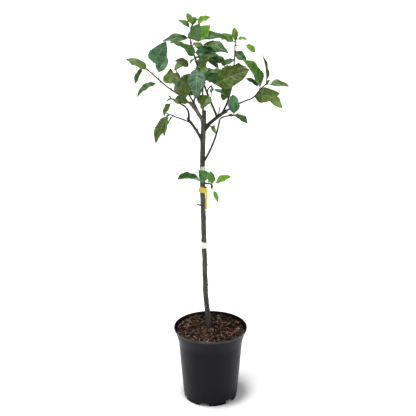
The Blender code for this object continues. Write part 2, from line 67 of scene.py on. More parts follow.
def mixed(first, second, part):
    """The first linear colour with a part of the second in it."""
    return tuple(a + (b - a) * part for a, b in zip(first, second))


print("a middle leaf green in linear light is", [round(v, 3) for v in linear("#4f773a")])

# %% [markdown]
# ## Building a finish
# Each finish is one Principled shader. What is the same all over a surface is set on the shader's
# own sockets. What varies comes from a few nodes, and one small function adds each node with its
# settings and its links. Patterns read Object coordinates, so they stay on the object, or an
# attribute that every limb carries, so that they follow a bough round its bends.

# %% Finish helpers


def finish(name, colour, **sockets):
    """A Principled material of one linear colour, and the sockets that are the same all over."""
    made = bpy.data.materials.new(name)
    made.use_nodes = True
    shader = made.node_tree.nodes["Principled BSDF"]
    shader.inputs["Base Color"].default_value = colour
    for socket, value in sockets.items():
        shader.inputs[socket.replace("_", " ")].default_value = value
    made.diffuse_color = colour
    return made


def add(material, kind, values=None, links=None, **settings):
    """Adds a node with its settings, its sockets' values and its links from other outputs."""
    made = material.node_tree.nodes.new(kind)
    for name, value in settings.items():
        setattr(made, name, value)
    for socket, value in (values or {}).items():
        made.inputs[socket].default_value = value
    for socket, source in (links or {}).items():
        material.node_tree.links.new(source, made.inputs[socket])
    return made


def drive(material, socket, source):
    """Links a node's output to the material's Principled shader."""
    shader = material.node_tree.nodes["Principled BSDF"]
    material.node_tree.links.new(source, shader.inputs[socket])


def cells(material, size, squeeze=(1, 1, 1), attribute=None):
    """Coordinates counted in cells of a real size, read from the object or from an attribute."""
    if attribute:
        place = add(material, "ShaderNodeAttribute", attribute_name=attribute).outputs["Vector"]
    else:
        place = add(material, "ShaderNodeTexCoord").outputs["Object"]
    scale = tuple(part / size for part in squeeze)
    return add(material, "ShaderNodeMapping", {"Scale": scale}, {"Vector": place}).outputs["Vector"]


def mapped(material, source, start, end, low, high):
    """An output between start and end, stretched to run between low and high."""
    ends = {"From Min": start, "From Max": end, "To Min": low, "To Max": high}
    return add(material, "ShaderNodeMapRange", ends, {"Value": source}).outputs["Result"]


def cloud(material, place, low, high, detail=3.0):
    """Soft noise that swings between two values."""
    noisy = add(material, "ShaderNodeTexNoise", {"Scale": 1.0, "Detail": detail}, {"Vector": place})
    return mapped(material, noisy.outputs["Fac"], 0.32, 0.68, low, high)


def blended(material, first, second, part):
    """A colour between the first, a colour or a node's output, and the second, by an output."""
    values, links = {7: second}, {0: part}
    (values if isinstance(first, tuple) else links)[6] = first
    return add(material, "ShaderNodeMix", values, links, data_type="RGBA").outputs[2]


def relief(material, height, depth):
    """Bump of a real depth in metres, from an output that runs between 0 and 1."""
    bump = add(material, "ShaderNodeBump", {"Distance": depth}, {"Height": height})
    drive(material, "Normal", bump.outputs["Normal"])


# %% [markdown]
# ## The pot's plastic
# A nursery pot is injection moulded in black polypropylene. The mould is lightly blasted, so the
# skin is satin. It stays dark from the front and turns pale only at a grazing angle. A trace of
# blue keeps it from looking like soot. The blasted grain is about 0.2 mm, too fine to show, so it
# is drawn at 1.5 mm, and handling leaves slightly duller clouds. The rim is rubbed smoother by
# hands, so it shines more.

# %% Moulded polypropylene


def moulded(name, colour, shine, dull, duller):
    """Black polypropylene from a blasted mould, with clouds of a duller skin."""
    made = finish(name, linear(colour), Roughness=0.4, IOR=1.49, Specular_IOR_Level=shine)
    relief(made, cloud(made, cells(made, 1.5 * MM), 0, 1, 2.0), 0.02 * MM)
    drive(made, "Roughness", cloud(made, cells(made, 34 * MM, (1, 1, 0.5)), dull, duller))
    return made


POT_BLACK = moulded("moulded_black_polypropylene", "#0b0a12", 0.12, 0.38, 0.5)
RIM_BLACK = moulded("rubbed_black_polypropylene", "#0f0e14", 0.48, 0.28, 0.4)
print("made", POT_BLACK.name, "and", RIM_BLACK.name)

# %% [markdown]
# ## The potting mix
# The mix is dark composted bark and peat. Over it lie shredded chips of bark: split faces are a
# foxy red-brown, weathered ones darker and greyer. The near-black chips also stand for the
# shade in the gaps between chips, painted shade, and the palest ones partly for painted
# highlights. Each chip gets one plain colour, dealt out by chance, because a joined mesh of many
# chips has nowhere to keep a pattern in place. Fine bump alone draws the fibres, which are 0.3 mm
# wide on a real chip and 1 mm here.

# %% Composted bark and bark chips
MIX_DARK = finish(
    "composted_bark_and_peat", linear("#170e0a"), Roughness=0.95, Specular_IOR_Level=0.2,
)
crumbs = cloud(MIX_DARK, cells(MIX_DARK, 3.0 * MM), 0, 1, 6.0)
drive(MIX_DARK, "Base Color", blended(MIX_DARK, linear("#040201"), linear("#140d09"), crumbs))
relief(MIX_DARK, crumbs, 1.2 * MM)
CHIP_COLOURS = {
    "bark_chip_split_red": "#714c3a",
    "bark_chip_foxy": "#4b3123",
    "bark_chip_brown": "#21160f",
    # near-black weathered chips, partly painted shade for the gaps between chips
    "bark_chip_weathered": "#0c0704",
    # pale wood chips, partly a painted highlight
    "bark_chip_pale_wood": "#987f69",
}
CHIP_BARK = []
for name, colour in CHIP_COLOURS.items():
    chip_bark = finish(name, linear(colour), Roughness=0.82, Specular_IOR_Level=0.3)
    relief(chip_bark, cloud(chip_bark, cells(chip_bark, 1.0 * MM), 0, 1, 4.0), 0.3 * MM)
    CHIP_BARK.append(chip_bark)
print("made", MIX_DARK.name, "and", len(CHIP_BARK), "chip colours")

# %% [markdown]
# ## Bark
# Apple bark is grey-brown and smooth for some years, with fine cracks that run up the limb and
# pale pores, called lenticels, that lie across it as short dashes. Younger boughs are browner,
# the bough on the left is a silvery grey that is also painted paler as a highlight, and this
# year's shoots are still green under a thin brown skin. The four barks differ only in their
# colours, so one function makes them. A pore is about 2 mm by 0.7 mm, and is drawn as 3 mm by
# 1.2 mm, the least that shows from a step away.

# %% Four barks and cut wood


def bark(name, dark, middle, pale, pore):
    """Bark whose streaks, blotches and pores follow the limb that it grows on."""
    made = finish(name, linear(middle), Roughness=0.78, Specular_IOR_Level=0.35)
    streaks = cloud(made, cells(made, 4.6 * MM, (1, 1, 0.2), "limb"), 0, 1, 5.0)
    blotches = cloud(made, cells(made, 19 * MM, (1, 1, 0.6), "limb"), 0, 0.8)
    colour = blended(made, linear(dark), linear(pale), streaks)
    colour = blended(made, colour, linear(middle), blotches)
    spots = add(
        made, "ShaderNodeTexVoronoi", {"Scale": 1.0},
        {"Vector": cells(made, 8.5 * MM, (1, 1, 2.4), "limb")},
    )
    pores = mapped(made, spots.outputs["Distance"], 0.13, 0.21, 0.8, 0.0)
    drive(made, "Base Color", blended(made, colour, linear(pore), pores))
    relief(made, streaks, 0.8 * MM)
    return made


TRUNK_BARK = bark("grey_apple_bark", "#1b1a17", "#3d3d37", "#616058", "#736f64")
BOUGH_BARK = bark("brown_apple_bark", "#110f0d", "#2a2723", "#524e47", "#665f54")
# Silvery grey bark, made paler as well as a painted highlight on the pruned bough.
SILVERY_AND_HIGHLIT_BARK = bark("silvery_apple_bark_and_painted_highlight", "#25241f", "#53524b", "#807e75", "#8d897d")
SHOOT_BARK = bark("green_bark_of_new_shoots", "#221f16", "#37341f", "#504c30", "#6a644b")
CUT_WOOD = finish("weathered_cut_wood", linear("#71644f"), Roughness=0.85, Specular_IOR_Level=0.3)
rings = add(
    CUT_WOOD, "ShaderNodeTexWave", {"Scale": 0.35, "Distortion": 2.0},
    {"Vector": cells(CUT_WOOD, 0.9 * MM, (1, 1, 1), "limb")},
    wave_type="RINGS", rings_direction="Z",
)
wood_tone = blended(CUT_WOOD, linear("#544939"), linear("#8e7d62"), rings.outputs["Fac"])
drive(CUT_WOOD, "Base Color", wood_tone)
print("made four barks and", CUT_WOOD.name)

# %% [markdown]
# ## Leaves
# A leaf's upper skin is waxy and fairly dark, with lighter and deeper clouds, which are painted
# highlight and painted shade laid at random. Its veins and midrib are lighter, and its underside
# is felted, paler and greyer. The tone changes from leaf to leaf: new ones are bright
# yellow-green, old ones dull olive. The blue-green tones are a painted reflection of the sky,
# and the dark tone is painted shade. Each tone is five plain colours, dealt out by leaf, so they
# stay in place on a joined mesh. Only a fine pucker is a pattern. Its cells are 0.6 mm on the
# leaf and 2.2 mm here.

# %% Leaf tones
LEAF_COLOURS = {
    "lime": "#649e27",
    "spring": "#7db639",
    "bright": "#648e28",
    "fresh": "#537925",
    "vivid": "#4e8824",
    "emerald": "#377123",
    "mid": "#3e6b22",
    "sage": "#436933",
    # painted shade: the dark tone stands for leaves in the crown's shade
    "dark": "#345922",
    # painted reflection: blue and pale_blue stand for the sky reflected on the leaves
    "blue": "#386641",
    "pale_blue": "#41604b",
    "olive": "#3d5415",
    "yellow_olive": "#587022",
    "warm_olive": "#4c641e",
    "pale_olive": "#779342",
    "brown_olive": "#46471f",
    "grey": "#4c6437",
}
BLADE, LIGHT, PAINTED_SHADE_CLOUD, RIB, UNDER = range(5)
LEAF_PARTS = (
    ("blade", "#000000", 0.0, 0.44),
    # light is the veins' own colour, and in random clouds a painted highlight; deep is painted shade
    # in random clouds
    ("light", "#b1c48d", 0.08, 0.46),
    ("deep", "#0e1c0a", 0.22, 0.46),
    ("midrib", "#a4b27c", 0.26, 0.5),
    ("underside", "#859776", 0.3, 0.62),
)
LEAF_SKIN = {}
for tone, colour in LEAF_COLOURS.items():
    skins = []
    for part, paler, share, dullness in LEAF_PARTS:
        mix = mixed(linear(colour), linear(paler), share)
        skin = finish(f"leaf_{part}_{tone}", mix, Roughness=dullness, Specular_IOR_Level=0.25)
        relief(skin, cloud(skin, cells(skin, 2.2 * MM), 0, 1, 2.0), 0.22 * MM)
        skins.append(skin)
    LEAF_SKIN[tone] = skins
RED_FLUSH = finish("leaf_red_flush", linear("#633425"), Roughness=0.55, Specular_IOR_Level=0.25)
STALK_GREEN = finish(
    "leaf_stalk_pale_green", linear("#7e8c53"), Roughness=0.5, Specular_IOR_Level=0.4,
)
stalk_part = cloud(STALK_GREEN, cells(STALK_GREEN, 9 * MM, (1, 1, 0.3), "limb"), 0, 1)
stalk_tone = blended(STALK_GREEN, linear("#708448"), linear("#949160"), stalk_part)
drive(STALK_GREEN, "Base Color", stalk_tone)
BUD_BROWN = finish("bud_scales_brown", linear("#513d2e"), Roughness=0.7, Specular_IOR_Level=0.3)
relief(BUD_BROWN, cloud(BUD_BROWN, cells(BUD_BROWN, 0.9 * MM), 0, 1), 0.2 * MM)
print("made", len(LEAF_SKIN), "leaf tones of", len(LEAF_PARTS), "colours")

# %% [markdown]
# ## Tape and label
# Two bands of white polyethylene film are wound round the trunk. Film is glossy where it is
# stretched and dull where it wrinkles. The label is a strap of yellow polypropylene sheet. Its
# loop is a deep yellow, and its loose end is painted a paler yellow, a painted highlight for the
# light that it catches.

# %% Film and strap
TAPE_WHITE = finish(
    "white_polyethylene_film", linear("#e4e6e3"), Roughness=0.38, Specular_IOR_Level=0.5,
)
stretch_lines = cells(TAPE_WHITE, 2.4 * MM, (0.35, 0.35, 1))
drive(TAPE_WHITE, "Roughness", cloud(TAPE_WHITE, stretch_lines, 0.28, 0.55))
relief(TAPE_WHITE, cloud(TAPE_WHITE, stretch_lines, 0, 1), 0.25 * MM)
STRAP_YELLOW = finish("yellow_polypropylene_strap", linear("#d3bd00"), Roughness=0.5, IOR=1.49)
# The loose end's paler yellow is a painted highlight.
STRAP_PAINTED_HIGHLIGHT = finish("yellow_polypropylene_end_painted_highlight", linear("#e4d40c"), Roughness=0.5, IOR=1.49)
for strap in (STRAP_YELLOW, STRAP_PAINTED_HIGHLIGHT):
    relief(strap, cloud(strap, cells(strap, 1.4 * MM), 0, 1, 2.0), 0.05 * MM)
print("made", TAPE_WHITE.name, STRAP_YELLOW.name, STRAP_PAINTED_HIGHLIGHT.name)

# %% [markdown]
# ## Curves that limbs follow
# A limb is a tapered tube on a Bezier curve. These are the same curves that the solids were grown
# on, so each piece of bark lands where its solid is. A point is found by halving the handles'
# spans until one is left, and the direction is the same sum on the spans themselves.

# %% Curve helpers


def between(table, share):
    """The value at a share, read along straight lines between the table's rows."""
    for (s0, v0), (s1, v1) in zip(table, table[1:]):
        if share <= s1:
            return v0 + (v1 - v0) * (share - s0) / (s1 - s0)
    return table[-1][1]


def bezier(handles, share):
    """A point on the Bezier curve of any number of handles."""
    while len(handles) > 1:
        handles = [a.lerp(b, share) for a, b in zip(handles, handles[1:])]
    return handles[0]


def heading(handles, share):
    """The direction in which the Bezier curve runs at a share of its length."""
    return bezier([b - a for a, b in zip(handles, handles[1:])], share).normalized()


def bowed(start, tip, bow):
    """Handles of a curve whose middle is pushed by bow to the upper side of its chord."""
    chord = tip - start
    upper = UP - UP.dot(chord) / chord.length_squared * chord
    return [start, start.lerp(tip, 0.5) + 2 * bow * upper.normalized(), tip]


# %% [markdown]
# ## The trunk and its boughs, as numbers
# Each limb springs from a share of its parent's length and has a tip, a bow, and a radius at each
# end. This is the source's own table, read in the same order, so nothing about the tree's frame
# is decided twice.

# %% The limbs' table
GAP = 0.3 * MM
MIX_HEIGHT = 235 * MM
TRUNK = [Vector(p) * MM for p in ((-5.6, 7.8, 235.3), (-22, 2, 466), (-34, 0, 707), (-18, 0, 948))]
TRUNK_RADII = ((0.0, 7.5 * MM), (0.955, 7.2 * MM), (1.0, 5.2 * MM))
BARK_DEPTH = 0.5 * MM
ROOT_FLARE = 3.2 * MM
ROOT_FLARE_HEIGHT = 14 * MM
LIMBS = (
    ("bough_left", "trunk", 0.950, (-61, -15, 977), 2, 5.0, 4.8),
    ("bough_right", "trunk", 0.925, (47, 20, 943), 2, 5.0, 4.4),
    ("bough_low_left", "trunk", 0.865, (-68, -30, 932), 3, 4.0, 3.4),
    ("bough_low_right", "trunk", 0.775, (26, -32, 926), -8, 3.0, 2.2),
    ("bough_rear", "trunk", 0.895, (-24, 84, 985), 6, 3.2, 2.2),
    ("spur_trunk", "trunk", 0.690, (-7, -13, 725), -1, 2.3, 1.8),
    ("spur_crotch", "trunk", 0.905, (-4, -13, 905), 0, 2.0, 1.5),
    ("stub_trunk", "trunk", 0.588, (-43, -2, 656), -1, 1.9, 1.1),
    ("shoot_left", "bough_left", 0.58, (-108, 2, 1006), 4, 2.7, 2.0),
    ("spur_inner", "bough_left", 0.80, (-46, 4, 992), 1, 2.6, 1.9),
    ("spur_rear_left", "bough_left", 0.32, (-78, 66, 1000), 5, 2.8, 1.9),
    ("spur_low_left", "bough_low_left", 0.96, (-84, -40, 976), 10, 2.8, 2.0),
    ("twig_low_left", "bough_low_left", 0.80, (-100, -62, 944), 1, 1.9, 1.6),
    ("leader", "bough_right", 0.62, (-45, 0, 1104), -3, 3.2, 2.0),
    ("bough_right_up", "bough_right", 0.82, (60, 46, 1000), -4, 2.8, 2.1),
    ("bough_right_long", "bough_right", 0.96, (117, 8, 982), 3, 2.6, 1.8),
    ("spur_right_front", "leader", 0.44, (-2, -40, 1030), 2, 2.0, 1.6),
    ("spur_centre", "leader", 0.74, (-38, -40, 1078), 3, 2.0, 1.7),
    ("spur_back", "leader", 0.90, (-26, 44, 1098), 2, 2.0, 1.7),
)
CURVES = {"trunk": TRUNK}
RADII = {"trunk": TRUNK_RADII}
PARENTS = {}
for name, parent, share, tip, bow, foot_radius, tip_radius in LIMBS:
    CURVES[name] = bowed(bezier(CURVES[parent], share), Vector(tip) * MM, bow * MM)
    RADII[name] = ((0.0, foot_radius * MM), (1.0, tip_radius * MM))
    PARENTS[name] = (parent, share)
print("limbs:", len(CURVES), "from a trunk", round((TRUNK[-1] - TRUNK[0]).length, 3), "m long")

# %% [markdown]
# ## Wrapping bark round a limb
# A grid has the right faces for a tube: its columns go round and its rows go up. So each limb
# starts as a grid, every row is moved to a ring on the limb's curve, and merging doubles closes
# the seam and the two ends, where a ring of no radius falls into one point. An operator makes
# the faces, and the limb's rule only says where the points go. Every point also keeps its place
# on the unrolled limb, as the attribute that the bark's pattern reads.

# %% The tube and its skin
WELD = 0.002 * MM


def grid_verts(bm, columns, rows):
    """The points of a new flat grid, each with its column and its row."""
    made = bmesh.ops.create_grid(bm, x_segments=columns, y_segments=rows, size=0.5)["verts"]
    return [(v, round((v.co.x + 0.5) * columns), round((v.co.y + 0.5) * rows)) for v in made]


def faces_of(verts):
    """The faces that hold any of the points."""
    return {face for vert in verts for face in vert.link_faces}


def limb_layer(bm):
    """The attribute that holds each point's place on its unrolled limb."""
    layers = bm.verts.layers.float_vector
    return layers.get("limb") or layers.new("limb")


def turned_sides(stations):
    """For each station, a direction square to the limb that turns as little as it can."""
    sides = []
    side = None
    for _, _, along in stations:
        side = along.orthogonal() if side is None else side - side.dot(along) * along
        side.normalize()
        sides.append(side.copy())
    return sides


def wrap(bm, stations, sides, slot, skin=None, end_slot=None):
    """Wraps one closed tube round stations of (point, radius, direction), ends and all."""
    first, last = stations[0], stations[-1]
    rim = (last[0] + 0.25 * last[1] * last[2], 0.86 * last[1], last[2])
    closed = [(first[0], 0.0, first[2]), *stations, rim, (rim[0], 0.0, rim[2])]
    ways = turned_sides(closed)
    runs = [0.0]
    for (point, _, _), (after, _, _) in zip(closed, closed[1:]):
        runs.append(runs[-1] + (after - point).length)
    rings = len(closed) - 1
    limb = limb_layer(bm)
    made = grid_verts(bm, sides, rings)
    ring_of = {vert: ring for vert, _, ring in made}
    for face in faces_of(ring_of):
        at_end = min(ring_of[vert] for vert in face.verts) >= rings - 1
        face.material_index = end_slot if at_end and end_slot is not None else slot
    for vert, column, ring in made:
        angle = math.tau * column / sides
        point, radius, along = closed[ring]
        ring_side = ways[ring]
        flat = Vector((math.cos(angle), math.sin(angle)))
        place = Vector((flat.x * radius, flat.y * radius, runs[ring]))
        if skin and radius > 0:
            radius += skin(place, math.atan2(flat.y, flat.x))
        vert[limb] = place
        vert.co = point + radius * (flat.x * ring_side + flat.y * along.cross(ring_side))
    bmesh.ops.remove_doubles(bm, verts=list(ring_of), dist=WELD)


def stations_on(handles, radii, spacing, swell=None):
    """Stations along a Bezier curve, one for every spacing, with an optional swelling."""
    steps = 24
    path = [bezier(handles, step / steps) for step in range(steps + 1)]
    length = sum((after - point).length for point, after in zip(path, path[1:]))
    count = max(5, round(length / spacing))
    stations = []
    for index in range(count + 1):
        share = index / count
        radius = between(radii, share) + (swell(share * length) if swell else 0)
        stations.append((bezier(handles, share), radius, heading(handles, share)))
    return stations


# %% [markdown]
# ## The bark's relief
# Real bark isn't a smooth cylinder. Shallow ridges run up it, faint rings lie across it, and at
# every place where a leaf once stood there is a small knot, one for each 20 to 30 mm or so, set
# 144 degrees on from the last, which is how leaves are spaced on an apple. Some knots grew into
# spurs that were pruned, and those are larger. The relief is in the mesh, so it also shows at the
# trunk's edge against the light.

# %% Relief and knots


def knots_along(rng, length, spacing, height, wide):
    """Old leaf scars: (distance along the limb, angle round it, height, width)."""
    found = []
    run, angle = rng.uniform(0.3, 1.0) * spacing, rng.uniform(0, math.tau)
    while run < length:
        size = rng.choice((0.7, 1.0, 1.0, 1.9))
        found.append((run, angle, height * size, wide * math.sqrt(size)))
        run += spacing * rng.uniform(0.7, 1.3)
        angle += math.radians(144)
    return found


def bark_skin(knots, ridge, radius, rings=()):
    """How far the bark stands out at a place on a limb."""
    def height(place, angle):
        up = Vector((place.x, place.y, 0.14 * place.z)) / (2.6 * MM)
        across = Vector((0.2 * place.x, 0.2 * place.y, place.z)) / (3.4 * MM)
        lumps = place / (17 * MM)
        rough = 0.55 * noise.noise(up) + 0.45 * noise.noise(across) + 1.1 * noise.noise(lumps)
        out = ridge * rough
        for run, knot_angle, knot_height, wide in knots:
            rise = (place.z - run) / wide
            if abs(rise) < 3:
                turn = (angle - knot_angle + math.pi) % math.tau - math.pi
                out += knot_height * math.exp(-rise * rise - (turn * radius / wide) ** 2)
        for ring in rings:
            out += 0.75 * MM * math.exp(-((place.z - ring) / (2.2 * MM)) ** 2)
        return out
    return height


# %% [markdown]
# ## From a bmesh to a piece of the tree
# Every piece ends the same way: its mesh gets its slots and its smoothing, rides on the frame,
# and stands for the solids that it replaces.

# %% Finishing a piece


def mesh_of(name, bm):
    """The bmesh as a mesh."""
    mesh = bpy.data.meshes.new(name)
    bm.to_mesh(mesh)
    bm.free()
    return mesh


def placed(name, data):
    """An object of a mesh, a lamp or a camera, in the scene."""
    made = bpy.data.objects.new(name, data)
    bpy.context.scene.collection.objects.link(made)
    return made


def piece(name, bm, materials, replaced, sharp=40):
    """Makes the object and ties it to the frame."""
    bmesh.ops.recalc_face_normals(bm, faces=bm.faces[:])
    mesh = mesh_of(name, bm)
    for material in materials:
        mesh.materials.append(material)
    mesh.shade_smooth()
    mesh.set_sharp_from_angle(angle=math.radians(sharp))
    made = placed(name, mesh)
    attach(made, "root")
    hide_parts(*replaced)
    triangles = sum(len(face.vertices) - 2 for face in mesh.polygons)
    print(f"{name}: {triangles} triangles, {len(materials)} finishes")


# %% [markdown]
# ## The trunk
# The trunk leans a little, tapers upwards and flares at its foot. It is carried 7 mm down into
# the mix, as a trunk has no cut end there. It kinks by up to 2.5 mm where it once changed its
# leading shoot, and a raised ring lies at each of those years' ends. Its pruned top, beside the
# fork, shows cut wood. A few short pruned spurs and one thin shoot stand on it, too small for
# solids of their own. On all limbs the bark's ridges stand half a millimetre proud of the solids.

# %% Grow the trunk's bark
KINKS = [
    (height * MM, shift * MM) for height, shift in (
        (200, 0.0), (250, 0.0), (310, -1.0), (364, -2.1), (394, -0.3), (421, -0.3), (449, 0.9),
        (476, 1.9), (502, 1.1), (556, 2.3), (609, 2.5), (650, 1.7), (720, 0.9), (787, 0.3),
        (840, -0.5), (950, -0.5),
    )
]
YEAR_RINGS = (366, 452, 537, 629, 700, 818, 868)
TRUNK_SUNK = 7 * MM
FOOT_SPREAD = 1.5 * MM
LIMB_BARK, CUT_END, SILVERY_AND_HIGHLIT_LIMB = range(3)
TRUNK_SPURS = (
    (0.205, (-8.0, -4, 388), 3.2, 2.4),
    (0.34, (-13.5, -4, 474), 2.8, 2.0),
    (0.73, (-31, -6, 779), 2.6, 1.8),
    (0.90, (-31, -8, 927), 1.6, 1.1),
)


def kinked(point):
    """A point of the trunk, shifted aside by its kinks."""
    return point + Vector((between(KINKS, point.z), 0, 0))


def add_spur(bm, parent, share, tip, foot_radius, tip_radius):
    """A short pruned spur on a limb, with a cut end."""
    spur = bowed(bezier(CURVES[parent], share), Vector(tip) * MM, 0.4 * MM)
    stations = stations_on(spur, ((0, foot_radius * MM), (1, tip_radius * MM)), 1.6 * MM)
    wrap(bm, stations, 12, LIMB_BARK, bark_skin([], 0.25 * MM, 2 * MM), CUT_END)


trunk_length = (TRUNK[-1] - TRUNK[0]).length
trunk_knots = knots_along(random.Random(4), trunk_length, 31 * MM, 0.9 * MM, 3.0 * MM)
trunk_stations = stations_on(
    TRUNK, TRUNK_RADII, 2.2 * MM,
    lambda run: BARK_DEPTH + ROOT_FLARE * math.exp(-run / ROOT_FLARE_HEIGHT),
)
foot_point, foot_radius, foot_way = trunk_stations[0]
trunk_stations.insert(0, (foot_point - TRUNK_SUNK * UP, foot_radius + FOOT_SPREAD, foot_way))
trunk_stations = [(kinked(point), radius, along) for point, radius, along in trunk_stations]
rings = [height * MM - trunk_stations[0][0].z for height in YEAR_RINGS]
bm = bmesh.new()
trunk_skin = bark_skin(trunk_knots, 0.5 * MM, 7.3 * MM, rings)
wrap(bm, trunk_stations, 32, LIMB_BARK, trunk_skin, CUT_END)
for spur in TRUNK_SPURS:
    add_spur(bm, "trunk", *spur)
stub = stations_on(CURVES["stub_trunk"], ((0, 3 * MM), (0.8, 2 * MM), (1, 1.4 * MM)), 1.6 * MM)
wrap(bm, stub, 14, LIMB_BARK, bark_skin([], 0.2 * MM, 1.4 * MM), CUT_END)
piece("trunk_bark", bm, [TRUNK_BARK, CUT_WOOD], ["trunk", "stub_trunk"])

# %% [markdown]
# ## The boughs
# Where a bough leaves its parent, the wood swells into a collar. The collar is an added radius
# that fades within a few millimetres of the parent's bark. The tube itself starts on the parent's
# centre line, so no gap can show. More short spurs stand where shoots were pruned.

# %% Grow the boughs and the spurs
MAIN_BOUGHS = (
    "bough_left", "bough_right", "bough_low_left", "bough_low_right", "bough_rear", "leader",
    "bough_right_up", "bough_right_long",
)
PRUNED_BOUGH = "bough_left"
PRUNED_SPURS = (
    ("bough_low_left", 0.90, (-66, -36, 944), 2.3, 1.7),
    ("bough_right", 0.66, (27, 6, 958), 2.2, 1.6),
    ("bough_right", 0.90, (46, 4, 946), 2.3, 1.7),
    ("bough_right", 0.50, (22, 6, 922), 1.4, 1.0),
    ("leader", 0.30, (4, -3, 1003), 1.6, 1.2),
    ("leader", 0.62, (-36, -2, 1062), 1.5, 1.1),
    ("bough_left", 0.72, (-56, -21, 961), 1.6, 1.2),
    ("bough_right_long", 0.45, (82, 4, 972), 1.2, 0.8),
    ("bough_low_left", 0.40, (-38, -24, 907), 1.5, 1.1),
)


def limb_bark(bm, name, spacing, sides, ridge):
    """One bough's bark, with its collar and knots. The pruned one is silvery, with a painted
    highlight, and has a cut end.
    """
    parent, share = PARENTS[name]
    parent_radius = between(RADII[parent], share)
    foot_radius = RADII[name][0][1]

    def collar(run):
        return BARK_DEPTH + 0.45 * foot_radius * math.exp(-max(0.0, run - parent_radius) / (4 * MM))

    stations = stations_on(CURVES[name], RADII[name], spacing, collar)
    length = (CURVES[name][-1] - CURVES[name][0]).length
    rng = random.Random(name)
    knots = knots_along(rng, length, 22 * MM, 0.16 * foot_radius, 0.7 * foot_radius)
    skin = bark_skin(knots, ridge * foot_radius, foot_radius)
    slots = (SILVERY_AND_HIGHLIT_LIMB, skin, CUT_END) if name == PRUNED_BOUGH else (LIMB_BARK, skin)
    wrap(bm, stations, sides, *slots)


bm = bmesh.new()
for name in MAIN_BOUGHS:
    limb_bark(bm, name, 2.2 * MM, 20, 0.07)
for spur in PRUNED_SPURS:
    add_spur(bm, *spur)
piece("main_boughs", bm, [BOUGH_BARK, CUT_WOOD, SILVERY_AND_HIGHLIT_BARK], MAIN_BOUGHS)

bm = bmesh.new()
side_twigs = [row[0] for row in LIMBS if row[0] not in MAIN_BOUGHS and row[0] != "stub_trunk"]
for name in side_twigs:
    limb_bark(bm, name, 1.8 * MM, 14, 0.08)
piece("side_twigs", bm, [BOUGH_BARK, CUT_WOOD], side_twigs)

# %% [markdown]
# ## The leafy shoots, as numbers
# This is the source's table again: each shoot carries on from a limb's tip, and each leaf has its
# place on the stem, its stalk, the way it points and turns, its length and its roll. The dice
# for size, width, arch and fold are thrown in the same order from the same seeds, so every leaf
# here grows exactly where its solid stands.

